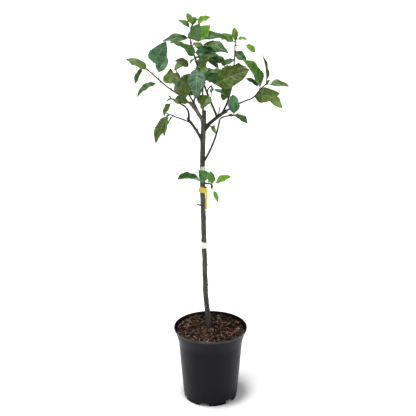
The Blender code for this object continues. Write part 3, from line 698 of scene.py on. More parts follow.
# %% The shoots' table
SHOOTS = (
    ("leaves_centre", "spur_centre", (-38, -72, 1094), 5, 15,
     ((0.95, 6, 265, 32, 90, 85), (0.6, 26, 240, 0, 84, 65), (0.25, 26, 235, -20, 84, 5),
      (0.05, 36, 155, 10, 46, 50), (0.2, 12, 50, 15, 52, 50))),
    ("leaves_left", "shoot_left", (-200, 60, 1067), 2, 11,
     ((0.05, 26, 85, 35, 66, 75), (0.4, 18, 215, 10, 72, 6), (0.5, 26, 65, -42, 68, 75),
      (0.7, 36, 60, 22, 90, 85), (0.85, 6, 155, -15, 74, 36), (1, 6, 245, 5, 54, 15))),
    ("leaves_low_left", "spur_low_left", (-116, -45, 995), 3, 12,
     ((0.8, 6, -5, 30, 50, 60), (0.7, 6, 85, -30, 44, 30), (0.65, 18, 245, 0, 46, 20))),
    ("leaves_hanging_left", "twig_low_left", (-121, -84, 957), 2, 13,
     ((0.95, 6, 245, 15, 90, 22), (0.4, 6, 250, -20, 74, 20))),
    ("leaves_top", "leader", (-46, 0, 1214), -14, 14,
     ((0.25, 36, 70, 35, 72, 85), (0.3, 26, 45, 0, 64, 60), (0.55, 6, 185, 10, 78, 25),
      (0.35, 36, -5, -20, 92, 25), (0.3, 36, -5, 15, 80, 25), (0.05, 6, 130, 20, 54, 60),
      (0.15, 6, 40, 5, 44, 70), (0.05, 36, 160, -15, 56, 15), (0.15, 36, -15, -25, 74, 40),
      (0.4, 6, 160, 38, 72, 30), (0.8, 6, 150, 5, 42, 30), (0.8, 26, 25, 10, 46, 40),
      (0.9, 6, 120, 0, 34, 60), (0.85, 6, 70, -50, 36, 20), (0.4, 36, 20, -65, 66, 10))),
    ("leaves_back", "spur_back", (-8, 84, 1112), 3, 16,
     ((0.05, 6, 55, -5, 58, 60), (0.75, 6, -40, 10, 50, 50), (0.45, 6, 140, -45, 60, 20),
      (0.8, 6, 25, -50, 60, 20), (0.1, 18, -30, -20, 56, 40), (0.1, 6, 215, -40, 58, 20))),
    ("leaves_right_up", "bough_right_up", (74, 94, 1142), -5, 17,
     ((1, 6, 95, 0, 34, 75), (0.78, 2, -38, 25, 44, 75), (0.62, 2, 180, 10, 40, 30),
      (0.1, 12, 165, 15, 70, 50), (0.1, 36, 155, 5, 60, 40), (0.35, 36, 155, 20, 56, 40),
      (0.4, 6, 0, -50, 60, 20), (0.15, 6, 245, 10, 54, 30), (0.05, 18, 50, 0, 38, 50),
      (0.95, 6, 160, 0, 52, 30), (1, 6, 0, 10, 32, 30), (0.9, 36, -40, -10, 38, 40),
      (0.15, 12, 20, -65, 56, 10))),
    ("leaves_right_front", "spur_right_front", (4, -76, 1032), 3, 18,
     ((0.15, 18, 25, 5, 112, 60), (1, 6, -25, 0, 36, 20), (0.9, 36, 230, 45, 52, 70))),
    ("leaves_right", "bough_right_long", (164, -10, 1031), 3, 19,
     ((0.65, 6, 120, 5, 100, 20), (0.15, 6, 25, 25, 80, 70), (0.95, 12, 100, -10, 80, -8),
      (0.4, 36, -40, 10, 54, 40), (0.95, 12, -10, -10, 62, 40), (0.6, 12, 145, 0, 46, 25))),
    ("leaves_low_right", "bough_low_right", (73, -50, 947), 2, 20,
     ((0.85, 6, 90, -35, 60, 85), (0.9, 6, -30, 10, 42, 30), (0.95, 6, 180, 10, 18, 30))),
    ("leaves_trunk", "spur_trunk", (3, -20, 722), 2, 21,
     ((0.05, 36, 130, 30, 52, 85), (0.05, 36, 170, 10, 74, 0), (0.5, 18, 25, 5, 54, 20),
      (1, 18, -70, 10, 38, 40), (1, 6, 60, -10, 38, 60))),
    ("leaves_inner", "spur_inner", (-43, 12, 1018), 1, 22,
     ((0.3, 6, -70, 15, 44, 60), (0.05, 6, 170, 20, 40, 40), (0.05, 6, 40, -30, 46, 30))),
    ("leaves_rear", "bough_rear", (-12, 160, 1070), 6, 23,
     ((0.2, 6, 165, -30, 58, 30), (0.2, 36, 20, -30, 64, 30), (0.4, 6, 105, -40, 64, 20),
      (0.3, 6, 225, -15, 56, 40), (0.15, 36, -5, -50, 76, 20), (0.3, 36, 15, -65, 68, 10),
      (0.9, 6, 210, -60, 72, 10))),
    ("leaves_rear_left", "spur_rear_left", (-106, 118, 1046), 3, 25,
     ((0.3, 12, 160, -40, 56, 20), (0.5, 6, -15, -40, 58, 30), (0.75, 6, 160, -50, 58, 10),
      (1, 6, 10, -55, 60, 10), (0.15, 6, -85, -30, 50, 20))),
    ("leaves_crotch", "spur_crotch", (4, -18, 903), 0, 24,
     ((0.05, 6, -45, 10, 24, 30),)),
)
LEAF_DICE = (
    ("size", 0.97, 1.03),
    ("width", 0.52, 0.62),
    ("arch", 20, 50),
    ("fold", 14, 28),
    ("roll", -8, 8),
)
LEAF_OUTLINE = ((0.0, 0.0), (0.14, 0.62), (0.38, 1.0), (0.64, 0.86), (0.86, 0.42), (1.0, 0.0))
TAPE_THICKNESS = 0.8 * MM
SAMPLE_ROWS = 16
STEM_SAMPLES = 24
TRUNK_SAMPLES = 160
SAMPLE_COLUMNS = (-1.0, -0.75, -0.5, -0.25, 0.0, 0.25, 0.5, 0.75, 1.0)
CLEARANCE_TO_LIMBS = 3.5 * MM
CLEARANCE_TO_OWN_SHOOT = 3.5 * MM
CLEARANCE_TO_OTHER_SHOOTS = 6 * MM
TURNS_TO_TRY = (0, 12, -12, 24, -24, 38, -38, 55, -55)
print("shoots:", len(SHOOTS), "with", sum(len(row[5]) for row in SHOOTS), "leaves at most")

# %% [markdown]
# ## How a leaf stands
# A leaf is described before it is made: where its stalk leaves the stem, where its blade starts,
# which way it points, and which way its upper face looks. Its midrib arches evenly, and its two
# halves fold up from it like an open book.

# %% The leaf's frame


def direction(clock, turn):
    """Clock is seen from the front, and turn swings it out towards the front."""
    a, t = math.radians(clock), math.radians(turn)
    return Vector((math.cos(a) * math.cos(t), -math.sin(t), math.sin(a) * math.cos(t)))


def stem_handles(limb, tip, bow):
    """A stem that leaves its limb's tip along the limb's own line, one gap clear of it."""
    along = heading(limb, 1)
    start = limb[-1] + GAP * along
    middle = bowed(start.lerp(tip, 0.32), tip, bow)[1]
    return [start, start + (tip - start).length * 0.3 * along, middle, tip]


def leaf_frame(along, roll):
    """The blade's axes: along, to its left edge, and out of its upper face."""
    facing = math.cos(math.radians(roll)) * UP + math.sin(math.radians(roll)) * FRONT
    normal = (facing - facing.dot(along) * along).normalized()
    return along, normal.cross(along), normal


def rib_point(leaf, share):
    """A point on the midrib, which arches evenly from base to tip."""
    along, _, normal = leaf["frame"]
    arch = leaf["arch"]
    sweep = arch * share
    run = math.sin(arch / 2) - math.sin(arch / 2 - sweep)
    rise = math.cos(arch / 2 - sweep) - math.cos(arch / 2)
    return leaf["base"] + leaf["length"] / arch * (run * along + rise * normal)


def sample_point(leaf, share, across):
    """A point on the plain folded blade, from -1 at its right edge to 1 at its left."""
    along, left, normal = leaf["frame"]
    out = across * between(LEAF_OUTLINE, share) * leaf["width"] / 2
    fold = leaf["fold"]
    sweep = leaf["arch"] * (0.5 - share)
    tilted = math.cos(sweep) * normal - math.sin(sweep) * along
    return rib_point(leaf, share) + out * math.cos(fold) * left + abs(out) * math.sin(fold) * tilted


def samples(leaf):
    """Points spread over the stalk and the blade, for keeping leaves apart."""
    found = [leaf["node"].lerp(leaf["base"], 0.8)]
    for row in range(SAMPLE_ROWS + 1):
        for column in SAMPLE_COLUMNS:
            found.append(sample_point(leaf, row / SAMPLE_ROWS, column))
    return np.array(found)


def grown_leaf(node, stem_along, spec, turn_by, dice):
    """One leaf, described by its row of the table and its dice."""
    _, stalk, clock, turn, length, roll = spec
    along = direction(clock + turn_by, turn)
    length = length * MM * dice["size"]
    leaving = (stem_along + 1.6 * along).normalized()
    return {
        "node": node,
        "base": node + stalk * MM * leaving,
        "leaving": leaving,
        "stem_along": stem_along,
        "frame": leaf_frame(along, roll + dice["roll"]),
        "length": length,
        "width": length * dice["width"],
        "arch": math.radians(dice["arch"]),
        "fold": math.radians(dice["fold"]),
    }


# %% [markdown]
# ## Growing the crown
# The shoots grow one after another. A leaf that would touch a limb or another leaf turns a little
# to either side until it has room, and if it finds none it isn't grown. Distances are measured
# between sample points spread over each leaf, which is quick and good enough for a loose crown.

# %% Place every leaf


def crowded(points, taken):
    """Whether any of the points is nearer to a taken point than its clearance."""
    if len(taken) == 0:
        return False
    reach = np.linalg.norm(points[:, None] - taken[None, :, :3], axis=2)
    return bool((reach < taken[None, :, 3]).any())


def limb_samples():
    """Points on every limb, each with its radius and the clearance that a leaf keeps."""
    found = []
    for name, *_ in LIMBS:
        handles, radii = CURVES[name], RADII[name]
        count = max(3, round((handles[-1] - handles[0]).length / (5 * MM)))
        for index in range(count + 1):
            share = index / count
            reach = between(radii, share) + CLEARANCE_TO_LIMBS
            found.append((*bezier(handles, share), reach))
    for index in range(TRUNK_SAMPLES + 1):
        point = bezier(TRUNK, index / TRUNK_SAMPLES)
        flare = ROOT_FLARE * math.exp(-(point.z - TRUNK[0].z) / ROOT_FLARE_HEIGHT)
        radius = between(TRUNK_RADII, index / TRUNK_SAMPLES) + flare
        found.append((*point, radius + TAPE_THICKNESS + CLEARANCE_TO_LIMBS))
    return found


def grow_crown():
    """Each shoot's stem and leaves, with each leaf's row number in the table."""
    stems = {}
    for name, limb, tip, bow, _, _ in SHOOTS:
        stems[name] = stem_handles(CURVES[limb], Vector(tip) * MM, bow * MM)
    taken = {"limbs": limb_samples(), **{name: [] for name in stems}}
    grown = {}
    for name, _, _, _, seed, specs in SHOOTS:
        rng = random.Random(seed)
        others = [row for owner, rows in taken.items() if owner != name for row in rows]
        for other, handles in stems.items():
            if other != name:
                for index in range(STEM_SAMPLES + 1):
                    others.append((*bezier(handles, index / STEM_SAMPLES), CLEARANCE_TO_LIMBS))
        others = np.array(others)
        leaves = []
        for row, spec in enumerate(specs):
            node, stem_along = bezier(stems[name], spec[0]), heading(stems[name], spec[0])
            dice = {trait: rng.uniform(low, high) for trait, low, high in LEAF_DICE}
            for turn_by in TURNS_TO_TRY:
                leaf = grown_leaf(node, stem_along, spec, turn_by, dice)
                points = samples(leaf)
                if not crowded(points, others) and not crowded(points, np.array(taken[name])):
                    leaf["row"] = row
                    leaf["share"] = spec[0]
                    leaves.append(leaf)
                    taken[name] += [(*point, CLEARANCE_TO_OWN_SHOOT) for point in points]
                    break
        taken[name] = [(x, y, z, CLEARANCE_TO_OTHER_SHOOTS) for x, y, z, _ in taken[name]]
        grown[name] = (stems[name], leaves)
    return grown


crown = grow_crown()
print("leaves grown:", sum(len(leaves) for _, leaves in crown.values()))

# %% [markdown]
# ## A leaf pattern
# One flat leaf is made once, in its own measures: x is the share of its length, y runs from -1 to
# 1 across it, and z is 0 on its upper face and -1 on its lower one. Its rows aren't even. A thin
# row marks each side vein, and the outer points of every second row are pushed out and forward,
# which gives the toothed edge. Solidify gives it an underside, and the ends are merged to points.

# %% Cut the pattern
VEIN_PAIRS = 8
FIRST_VEIN = 0.08
LAST_VEIN = 0.93
VEIN_PITCH = (LAST_VEIN - FIRST_VEIN) / VEIN_PAIRS
VEIN_STRIP = 0.016
RIB_STRIP = 0.055
TOOTH = 0.085
BLADE_COLUMNS = (-1.0, -0.88, -0.6, -0.3, -RIB_STRIP, RIB_STRIP, 0.3, 0.6, 0.88, 1.0)
SMALL_ROWS = (0.0, 0.12, 0.35, 0.62, 0.86, 1.0)
SMALL_COLUMNS = (-1.0, -0.5, 0.0, 0.5, 1.0)


def blade_rows():
    """Where the pattern's rows lie on the midrib, and which of them start a vein's strip."""
    rows, veins = [0.0], []
    for pair in range(VEIN_PAIRS):
        start = FIRST_VEIN + pair * VEIN_PITCH
        veins.append(start)
        end, third = start + VEIN_STRIP, (VEIN_PITCH - VEIN_STRIP) / 3
        rows += [start, end, end + third, end + 2 * third]
    return [*rows, LAST_VEIN, 1.0], veins


def leaf_pattern(rows, veins, columns, tooth):
    """The flat leaf as a mesh, its faces already dealt to blade, veins, midrib and underside."""
    bm = bmesh.new()
    last_row, last_column = len(rows) - 1, len(columns) - 1
    for vert, row, column in grid_verts(bm, last_row, last_column):
        share, across = rows[row], columns[column]
        if abs(across) == 1.0 and 1 < row < last_row:
            way = 1 if row % 2 else -0.4
            across *= 1 + way * tooth
            share += 0.35 * way * (rows[row + 1] - share)
        vert.co = (share, across, 0)
    for face in bm.faces:
        middle = face.calc_center_median()
        if abs(middle.y) < RIB_STRIP:
            face.material_index = RIB
        elif any(abs(middle.x - vein - VEIN_STRIP / 2) < VEIN_STRIP / 2 for vein in veins):
            face.material_index = LIGHT
    bmesh.ops.solidify(bm, geom=bm.faces[:], thickness=1)
    for face in bm.faces:
        lower = sum(vert.co.z < -0.5 for vert in face.verts)
        if lower == len(face.verts) and face.material_index != RIB:
            face.material_index = UNDER
        elif lower and lower < len(face.verts):
            face.material_index = BLADE
    for end in (0.0, 1.0):
        for depth in (0, -1):
            tip = [v for v in bm.verts if abs(v.co.x - end) < 1e-5 and round(v.co.z) == depth]
            bmesh.ops.pointmerge(bm, verts=tip, merge_co=(end, 0, depth))
    return mesh_of("leaf_pattern", bm)


BLADE_PATTERN = leaf_pattern(*blade_rows(), BLADE_COLUMNS, TOOTH)
SMALL_PATTERN = leaf_pattern(SMALL_ROWS, (), SMALL_COLUMNS, 0.0)
print("faces on a leaf:", len(BLADE_PATTERN.polygons))
print("faces on a tiny leaf:", len(SMALL_PATTERN.polygons))

# %% [markdown]
# ## From the pattern to a living leaf
# Every point of the flat pattern is carried to its place on the leaf: out to the true outline,
# along the arched midrib, up with the fold. The side veins sweep forward, so the rows are sheared
# towards the tip. Between the veins the blade is puffed up by 1.5% of its length, the midrib lies
# in a groove above and stands out below, the blade crumples softly, and the edge waves and bulges
# a little, more on some leaves than on others. These last dice come from a seed of their own, so
# they don't disturb the source's.

# %% Shape the leaves
VEIN_SWEEP = 0.2
SHEET = 0.42 * MM
RIB_DEPTH = 0.9 * MM
GROOVE = 0.25 * MM
PUFF = 0.015
CRUMPLE = 0.026
CRUMPLE_SIZE = 15 * MM
FLUSHED_FROM = 0.84
CLOUD_SIZE = 13 * MM


def half_width(share):
    """The leaf's half width as a part of its widest: rounded at the base and drawn to a tip."""
    share = min(max(share, 0.0), 1.0)
    return math.sin(math.pi * share ** 0.8) ** 0.8 if 0 < share < 1 else 0.0


def leaf_character(seed):
    """The small things that make each leaf its own."""
    rng = random.Random(seed)
    return {
        "wave": rng.uniform(0.02, 0.046),
        "waves": rng.uniform(1.6, 2.7),
        "phases": (rng.uniform(0, 1), rng.uniform(0, 1)),
        "twist": math.radians(rng.uniform(-16, 16)),
        "bend": rng.uniform(-0.03, 0.03),
        "tip": math.radians(rng.uniform(-6, 24)),
        "uneven": rng.uniform(0.04, 0.1),
        "crumple": Vector((0, 0, rng.uniform(0, 90))),
        "broad": 1.0,
    }


def blade_point(leaf, place):
    """Where a point of the flat pattern comes to lie on the leaf."""
    x, y, depth = place
    along, left, normal = leaf["frame"]
    side = min(abs(y), 1.0)
    share = min(1.0, x + VEIN_SWEEP * math.sin(math.pi * x) * side)
    phase = leaf["phases"][0 if y > 0 else 1]
    uneven = 1 + leaf["uneven"] * math.sin(math.tau * (1.9 * share + phase))
    out = y * half_width(share) * leaf["broad"] * uneven * leaf["width"] / 2
    sweep = leaf["arch"] * (0.5 - share)
    tilted = math.cos(sweep) * normal - math.sin(sweep) * along
    turn = leaf["twist"] * (share - 0.35)
    level = math.cos(turn) * left + math.sin(turn) * tilted
    tilted = math.cos(turn) * tilted - math.sin(turn) * left
    fold = leaf["fold"] * (1.12 - 0.3 * side)
    way = 1 if y > 0 else -1
    face_out = math.cos(fold) * tilted - way * math.sin(fold) * level
    long = leaf["length"]
    between_veins = abs(math.sin(math.pi * (x - FIRST_VEIN) / VEIN_PITCH))
    puff = PUFF * long * between_veins * 4 * side * (1 - side)
    wave = leaf["wave"] * long * side ** 2 * math.sin(math.tau * (leaf["waves"] * share + phase))
    flat = Vector((share * long, y * leaf["width"] / 2, 0)) / CRUMPLE_SIZE
    crumple = CRUMPLE * long * noise.noise(flat + leaf["crumple"])
    lift = puff + (crumple + wave) * math.sin(math.pi * share) + depth * SHEET
    if side < 1.5 * RIB_STRIP:
        lift += depth * RIB_DEPTH * (1 - 0.8 * share) - GROOVE
    droop = long * math.sin(leaf["tip"]) * max(0.0, share - 0.75) ** 2 * 1.6
    middle = rib_point(leaf, share) + leaf["bend"] * long * share ** 2 * left - droop * tilted
    folded = out * math.cos(fold) * level + abs(out) * math.sin(fold) * tilted
    return middle + folded + lift * face_out


def copied(bm, pattern):
    """The points and the faces of one more copy of a pattern."""
    old_verts, old_faces = len(bm.verts), len(bm.faces)
    bm.from_mesh(pattern)
    bm.verts.ensure_lookup_table()
    bm.faces.ensure_lookup_table()
    return bm.verts[old_verts:], bm.faces[old_faces:]


def add_blade(bm, leaf, pattern, first_slot, tip_slot=None):
    """Lays one leaf into a joined mesh, with its tip in a slot of its own if one is given."""
    verts, faces = copied(bm, pattern)
    for vert in verts:
        vert.tag = vert.co.x > FLUSHED_FROM
        vert.co = blade_point(leaf, vert.co)
    for face in faces:
        part = face.material_index
        if part == BLADE:
            # Blade faces are dealt at random into clouds of painted highlight (light) and painted
            # shade (deep).
            cloudy = noise.noise(face.calc_center_median() / CLOUD_SIZE)
            part = LIGHT if cloudy > 0.12 else PAINTED_SHADE_CLOUD if cloudy < -0.16 else BLADE
        flushed = tip_slot is not None and all(vert.tag for vert in face.verts)
        face.material_index = tip_slot if flushed else part + first_slot


# %% [markdown]
# ## Dealing out the tones
# Each leaf's tone is named here, shoot by shoot, in the order of the table. New leaves at the
# tips are bright. Leaves in the crown's shade get the dark tone, which is painted shade, and
# those that catch the sky get the blue tones, a painted reflection of the sky. One leaf on the
# left has a tip that is flushed with red. A few leaves are broader or narrower than their solids.

# %% Tones leaf by leaf
LEAF_TONES = {
    "leaves_centre": "pale_blue olive grey brown_olive olive",
    "leaves_left": "yellow_olive dark blue blue warm_olive dark",
    "leaves_low_left": "olive dark olive",
    "leaves_hanging_left": "olive olive",
    "leaves_top": "sage spring dark dark dark mid blue dark dark bright fresh bright bright "
                  "fresh mid",
    "leaves_back": "olive blue mid mid olive mid",
    "leaves_right_up": "bright dark dark blue mid dark dark olive dark fresh bright bright mid",
    "leaves_right_front": "olive blue olive",
    "leaves_right": "mid warm_olive dark pale_olive grey sage",
    "leaves_low_right": "blue olive dark",
    "leaves_trunk": "emerald emerald spring lime vivid",
    "leaves_inner": "olive dark dark",
    "leaves_rear": "blue olive mid blue mid dark mid",
    "leaves_rear_left": "olive dark olive mid dark",
    "leaves_crotch": "spring",
}
RED_TIPPED = ("leaves_left", 0)
BREADTHS = {
    ("leaves_trunk", 0): 1.2, ("leaves_trunk", 1): 1.7, ("leaves_trunk", 3): 0.72,
    ("leaves_top", 2): 0.74, ("leaves_hanging_left", 0): 0.64, ("leaves_left", 4): 0.85,
    ("leaves_left", 5): 0.72, ("leaves_right", 4): 0.75, ("leaves_right", 5): 0.8,
    ("leaves_back", 2): 0.8,
}
REGIONS = {
    "top": ("leaves_top", "leaves_back"),
    "left": ("leaves_left", "leaves_low_left", "leaves_hanging_left"),
    "middle": (
        "leaves_centre", "leaves_inner", "leaves_crotch", "leaves_right_front", "leaves_trunk",
    ),
    "right": ("leaves_right", "leaves_right_up", "leaves_low_right"),
    "rear": ("leaves_rear", "leaves_rear_left"),
}
LEAF_TONES = {name: tones.split() for name, tones in LEAF_TONES.items()}
print("tones for", sum(len(tones) for tones in LEAF_TONES.values()), "rows of the table")

# %% [markdown]
# ## Tiny leaves, stalks and buds
# The solids stop at the larger leaves, and a real shoot goes on: at its tip three tiny leaves
# are unfolding, each stalk has a pair of narrow stipules at its foot, and a bud sits in
# each angle between stalk and stem. They follow the same rule as the large leaves, with dice of
# their own, and stay within the shoot's reach.

# %% Small parts of a shoot


def tiny_leaf(node, along, length, roll, seed, width):
    """A small leaf described like a large one."""
    rng = random.Random(seed)
    return {
        "base": node, "frame": leaf_frame(along, roll), "length": length, "width": length * width,
        "arch": math.radians(rng.uniform(25, 60)), "fold": math.radians(rng.uniform(26, 44)),
        **leaf_character(seed + 1),
    }


def tip_leaves(handles, seed):
    """The unfolding leaves round a shoot's tip."""
    rng = random.Random(seed)
    along = heading(handles, 1)
    side = along.orthogonal().normalized()
    found = []
    for index in range(3):
        turn = Matrix.Rotation(math.radians(144) * index + rng.uniform(0, 1), 3, along)
        way = (along + rng.uniform(0.5, 0.9) * (turn @ side)).normalized()
        length, roll = rng.uniform(11, 19) * MM, rng.uniform(20, 70)
        found.append(tiny_leaf(handles[-1] - 1 * MM * along, way, length, roll, seed + index, 0.42))
    return found


def stipules(leaf, seed):
    """Two narrow leaflets at the foot of a stalk."""
    leaving = leaf["leaving"]
    across = leaving.cross(leaf["stem_along"])
    if across.length < 0.05:
        across = leaving.orthogonal()
    foot = leaf["node"] + 1.2 * MM * leaving
    found = []
    for way in (-1, 1):
        along = 0.75 * leaving + 0.35 * leaf["stem_along"] + way * 0.6 * across.normalized()
        found.append(tiny_leaf(foot, along.normalized(), 6.5 * MM, 40, seed + way, 0.28))
    return found


def add_bud(bm, foot, along, length, slot):
    """An egg-shaped bud, pointed at its tip."""
    turn = along.to_track_quat("Z", "Y").to_matrix().to_4x4()
    limb = limb_layer(bm)
    made = bmesh.ops.create_uvsphere(bm, u_segments=8, v_segments=6, radius=0.5)["verts"]
    for vert in made:
        height = vert.co.z + 0.5
        slim = 0.52 * (1 - 0.6 * height * height)
        vert[limb] = vert.co * length
        vert.co = turn @ Vector((vert.co.x * slim, vert.co.y * slim, height)) * length + foot
    for face in faces_of(made):
        face.material_index = slot


def stalk_stations(leaf):
    """A stalk swells where it joins the stem and where it runs into the midrib."""
    base, node = leaf["base"], leaf["node"]
    sag = (base - node).length * 0.08
    middle = node.lerp(base, 0.5) + sag * leaf["frame"][2]
    handles = [node, middle, base, rib_point(leaf, 0.1), rib_point(leaf, 0.22)]
    radii = ((0, 1.35 * MM), (0.12, 1.15 * MM), (0.3, 0.8 * MM), (0.7, 0.8 * MM), (1, 0.35 * MM))
    path = []
    count = max(8, round((rib_point(leaf, 0.22) - node).length / (3.2 * MM)))
    for index in range(count + 1):
        share = index / count
        below = 0.55 * MM * max(0.0, share - 0.5) * 2
        point = bezier(handles, share) - below * leaf["frame"][2]
        path.append((point, between(radii, share), heading(handles, share)))
    return path


# %% [markdown]
# ## Stems
# A shoot's stem is a thin limb that swells under each leaf. It starts
# from its limb's tip at the limb's own thickness, so that the two read as one.

# %% Grow the shoots, region by region
STEM_TIP_RADIUS = 1.7 * MM
STEM_BARK, STALK, BUD = range(3)


def stem_stations(handles, foot_radius, leaves):
    """The stem's stations, with a swelling at every leaf."""
    length = sum((after - handle).length for handle, after in zip(handles, handles[1:]))
    radii = ((0, 1.1 * foot_radius), (1, STEM_TIP_RADIUS))
    nodes = sorted(leaf["share"] * length for leaf in leaves)

    def swell(run):
        nodes_here = sum(math.exp(-((run - node) / (2.4 * MM)) ** 2) for node in nodes)
        return 0.5 * BARK_DEPTH + 0.4 * MM * nodes_here

    stations = stations_on(handles, radii, 1.8 * MM, swell)
    first = (handles[0] - 1.2 * MM * heading(handles, 0), foot_radius, heading(handles, 0))
    return [first, *stations]


TIP_RADII = {row[0]: row[6] * MM for row in LIMBS}
for region, shoots in REGIONS.items():
    tones = sorted({tone for shoot in shoots for tone in LEAF_TONES[shoot]} | {"fresh"})
    skins = [skin for tone in tones for skin in LEAF_SKIN[tone]]
    fresh_slot = tones.index("fresh") * len(LEAF_PARTS)
    if RED_TIPPED[0] in shoots:
        skins.append(RED_FLUSH)
    blades, stems = bmesh.new(), bmesh.new()
    for shoot in shoots:
        handles, leaves = crown[shoot]
        limb, seed = next((row[1], row[4]) for row in SHOOTS if row[0] == shoot)
        stem = stem_stations(handles, TIP_RADII[limb], leaves)
        wrap(stems, stem, 12, STEM_BARK, bark_skin([], 0.12 * MM, 2 * MM))
        for leaf in leaves:
            leaf.update(leaf_character(100 * seed + leaf["row"]))
            leaf["broad"] = BREADTHS.get((shoot, leaf["row"]), 1.0)
            first_slot = tones.index(LEAF_TONES[shoot][leaf["row"]]) * len(LEAF_PARTS)
            tip_slot = len(skins) - 1 if (shoot, leaf["row"]) == RED_TIPPED else None
            add_blade(blades, leaf, BLADE_PATTERN, first_slot, tip_slot)
            wrap(stems, stalk_stations(leaf), 8, STALK)
            bud_way = (leaf["leaving"] + 1.3 * leaf["stem_along"]).normalized()
            add_bud(stems, leaf["node"] + 1.2 * MM * bud_way, bud_way, 4.2 * MM, BUD)
            for stipule in stipules(leaf, 1000 * seed + 10 * leaf["row"]):
                add_blade(blades, stipule, SMALL_PATTERN, fresh_slot)
        for leaf in tip_leaves(handles, 7000 + seed):
            add_blade(blades, leaf, SMALL_PATTERN, fresh_slot)
        tip_way = heading(handles, 1)
        add_bud(stems, handles[-1] - 0.4 * MM * tip_way, tip_way, 5 * MM, BUD)
    piece(f"leaf_blades_{region}", blades, skins, shoots, 50)
    piece(f"leafy_stems_{region}", stems, [SHOOT_BARK, STALK_GREEN, BUD_BROWN], shoots)

# %% [markdown]
# ## The pot
# The pot is a body of revolution, so its section is drawn once and spun. The section runs from
# the centre of the floor, out and round the foot, up the tapering wall, through the flare to a
# rolled rim 7 mm tall with a groove under it, and back down inside. More points lie where the
# section curves. The six drainage notches in the foot are cut afterwards by one Boolean, with
# their upper corners rounded.

# %% Spin the pot
POT_HEIGHT = 243 * MM
LIP_RADIUS = 116.7 * MM
LIP_DEPTH = 2 * MM
NECK_RADIUS = 101.3 * MM
NECK_HEIGHT = 190 * MM
FLARE_POWER = 1.3
RIM_DEPTH = 7 * MM
WALL_FOOT_RADIUS = 86.9 * MM
FOOT_RADIUS = 84.4 * MM
FOOT_HEIGHT = 14 * MM
WALL = 2 * MM
CENTRE_PLATE_RADIUS = 60 * MM
POT_STEPS = 168


def spun(profile, steps):
    """A bmesh of a section of (radius, height) that is spun round the pot's axis."""
    bm = bmesh.new()
    corners = [bm.verts.new((radius, 0, height)) for radius, height in profile]
    edges = [bm.edges.new(pair) for pair in zip(corners, corners[1:])]
    bmesh.ops.spin(
        bm, geom=corners + edges, cent=(0, 0, 0), axis=(0, 0, 1), angle=math.tau, steps=steps,
        use_merge=True,
    )
    bmesh.ops.remove_doubles(bm, verts=bm.verts, dist=WELD)
    return bm


def flare_radius(height):
    """The flare's outer radius at a height: it leaves the wall gently and opens towards the lip."""
    lift = (height - NECK_HEIGHT) / (POT_HEIGHT - LIP_DEPTH - NECK_HEIGHT)
    return NECK_RADIUS + (LIP_RADIUS - NECK_RADIUS) * lift ** FLARE_POWER


def arc(centre_radius, centre_height, radius, start, end, steps):
    """Points of a rounded corner, between two angles in degrees."""
    found = []
    for step in range(steps + 1):
        angle = math.radians(start + (end - start) * step / steps)
        out, up = radius * math.cos(angle), radius * math.sin(angle)
        found.append((centre_radius + out, centre_height + up))
    return found


wall_rows = 8
wall_foot = FOOT_HEIGHT + 1.6 * MM
outer_wall = []
for row in range(wall_rows + 1):
    share = row / wall_rows
    radius = WALL_FOOT_RADIUS + (NECK_RADIUS - WALL_FOOT_RADIUS) * share
    outer_wall.append((radius, wall_foot + (NECK_HEIGHT - wall_foot) * share))
rim_foot = POT_HEIGHT - RIM_DEPTH
flare = []
flare_rows = 12
for row in range(1, flare_rows + 1):
    height = NECK_HEIGHT + (rim_foot - 1.4 * MM - NECK_HEIGHT) * row / flare_rows
    flare.append((flare_radius(height), height))
groove = flare_radius(rim_foot) - 1.1 * MM
rim = [
    (groove, rim_foot - 0.8 * MM), (groove, rim_foot - 0.1 * MM),
    (LIP_RADIUS - 0.9 * MM, rim_foot), (LIP_RADIUS - 0.2 * MM, rim_foot + 0.8 * MM),
    (LIP_RADIUS, rim_foot + 2.6 * MM),
]
LIP_ROLL = 1.7 * MM
lip = arc(LIP_RADIUS - LIP_ROLL, POT_HEIGHT - LIP_ROLL, LIP_ROLL, -20, 180, 10)
inner_flare = [(radius - WALL, height) for radius, height in reversed(flare)]
inner_wall = [(radius - WALL, height) for radius, height in reversed(outer_wall)]
pot_section = [
    (0, 0), (20 * MM, 0), (40 * MM, 0),
    *arc(CENTRE_PLATE_RADIUS - 1 * MM, 1 * MM, 1 * MM, -90, 0, 3),
    (CENTRE_PLATE_RADIUS, FOOT_HEIGHT),
    (FOOT_RADIUS - WALL, FOOT_HEIGHT), (FOOT_RADIUS - WALL, 0.4 * MM),
    (FOOT_RADIUS - WALL + 0.4 * MM, 0),
    (FOOT_RADIUS - 0.4 * MM, 0), (FOOT_RADIUS, 0.4 * MM), (FOOT_RADIUS, FOOT_HEIGHT - 0.6 * MM),
    (FOOT_RADIUS + 0.5 * MM, FOOT_HEIGHT), (WALL_FOOT_RADIUS - 0.7 * MM, FOOT_HEIGHT),
    (WALL_FOOT_RADIUS - 0.1 * MM, FOOT_HEIGHT + 0.5 * MM),
    *outer_wall, *flare, *rim, *lip, *inner_flare, *inner_wall,
    (WALL_FOOT_RADIUS - 2 * WALL, FOOT_HEIGHT + WALL),
    (CENTRE_PLATE_RADIUS - WALL, FOOT_HEIGHT + WALL), (CENTRE_PLATE_RADIUS - WALL, WALL), (0, WALL),
]
pot_bm = spun(pot_section, POT_STEPS)
bmesh.ops.recalc_face_normals(pot_bm, faces=pot_bm.faces[:])
print("the pot's section has", len(pot_section), "points")

# %% [markdown]
# ## The drainage notches
# One rounded block is copied round the foot six times, and a single Boolean takes them all away.
# The Boolean is applied, so what is left is a plain mesh.

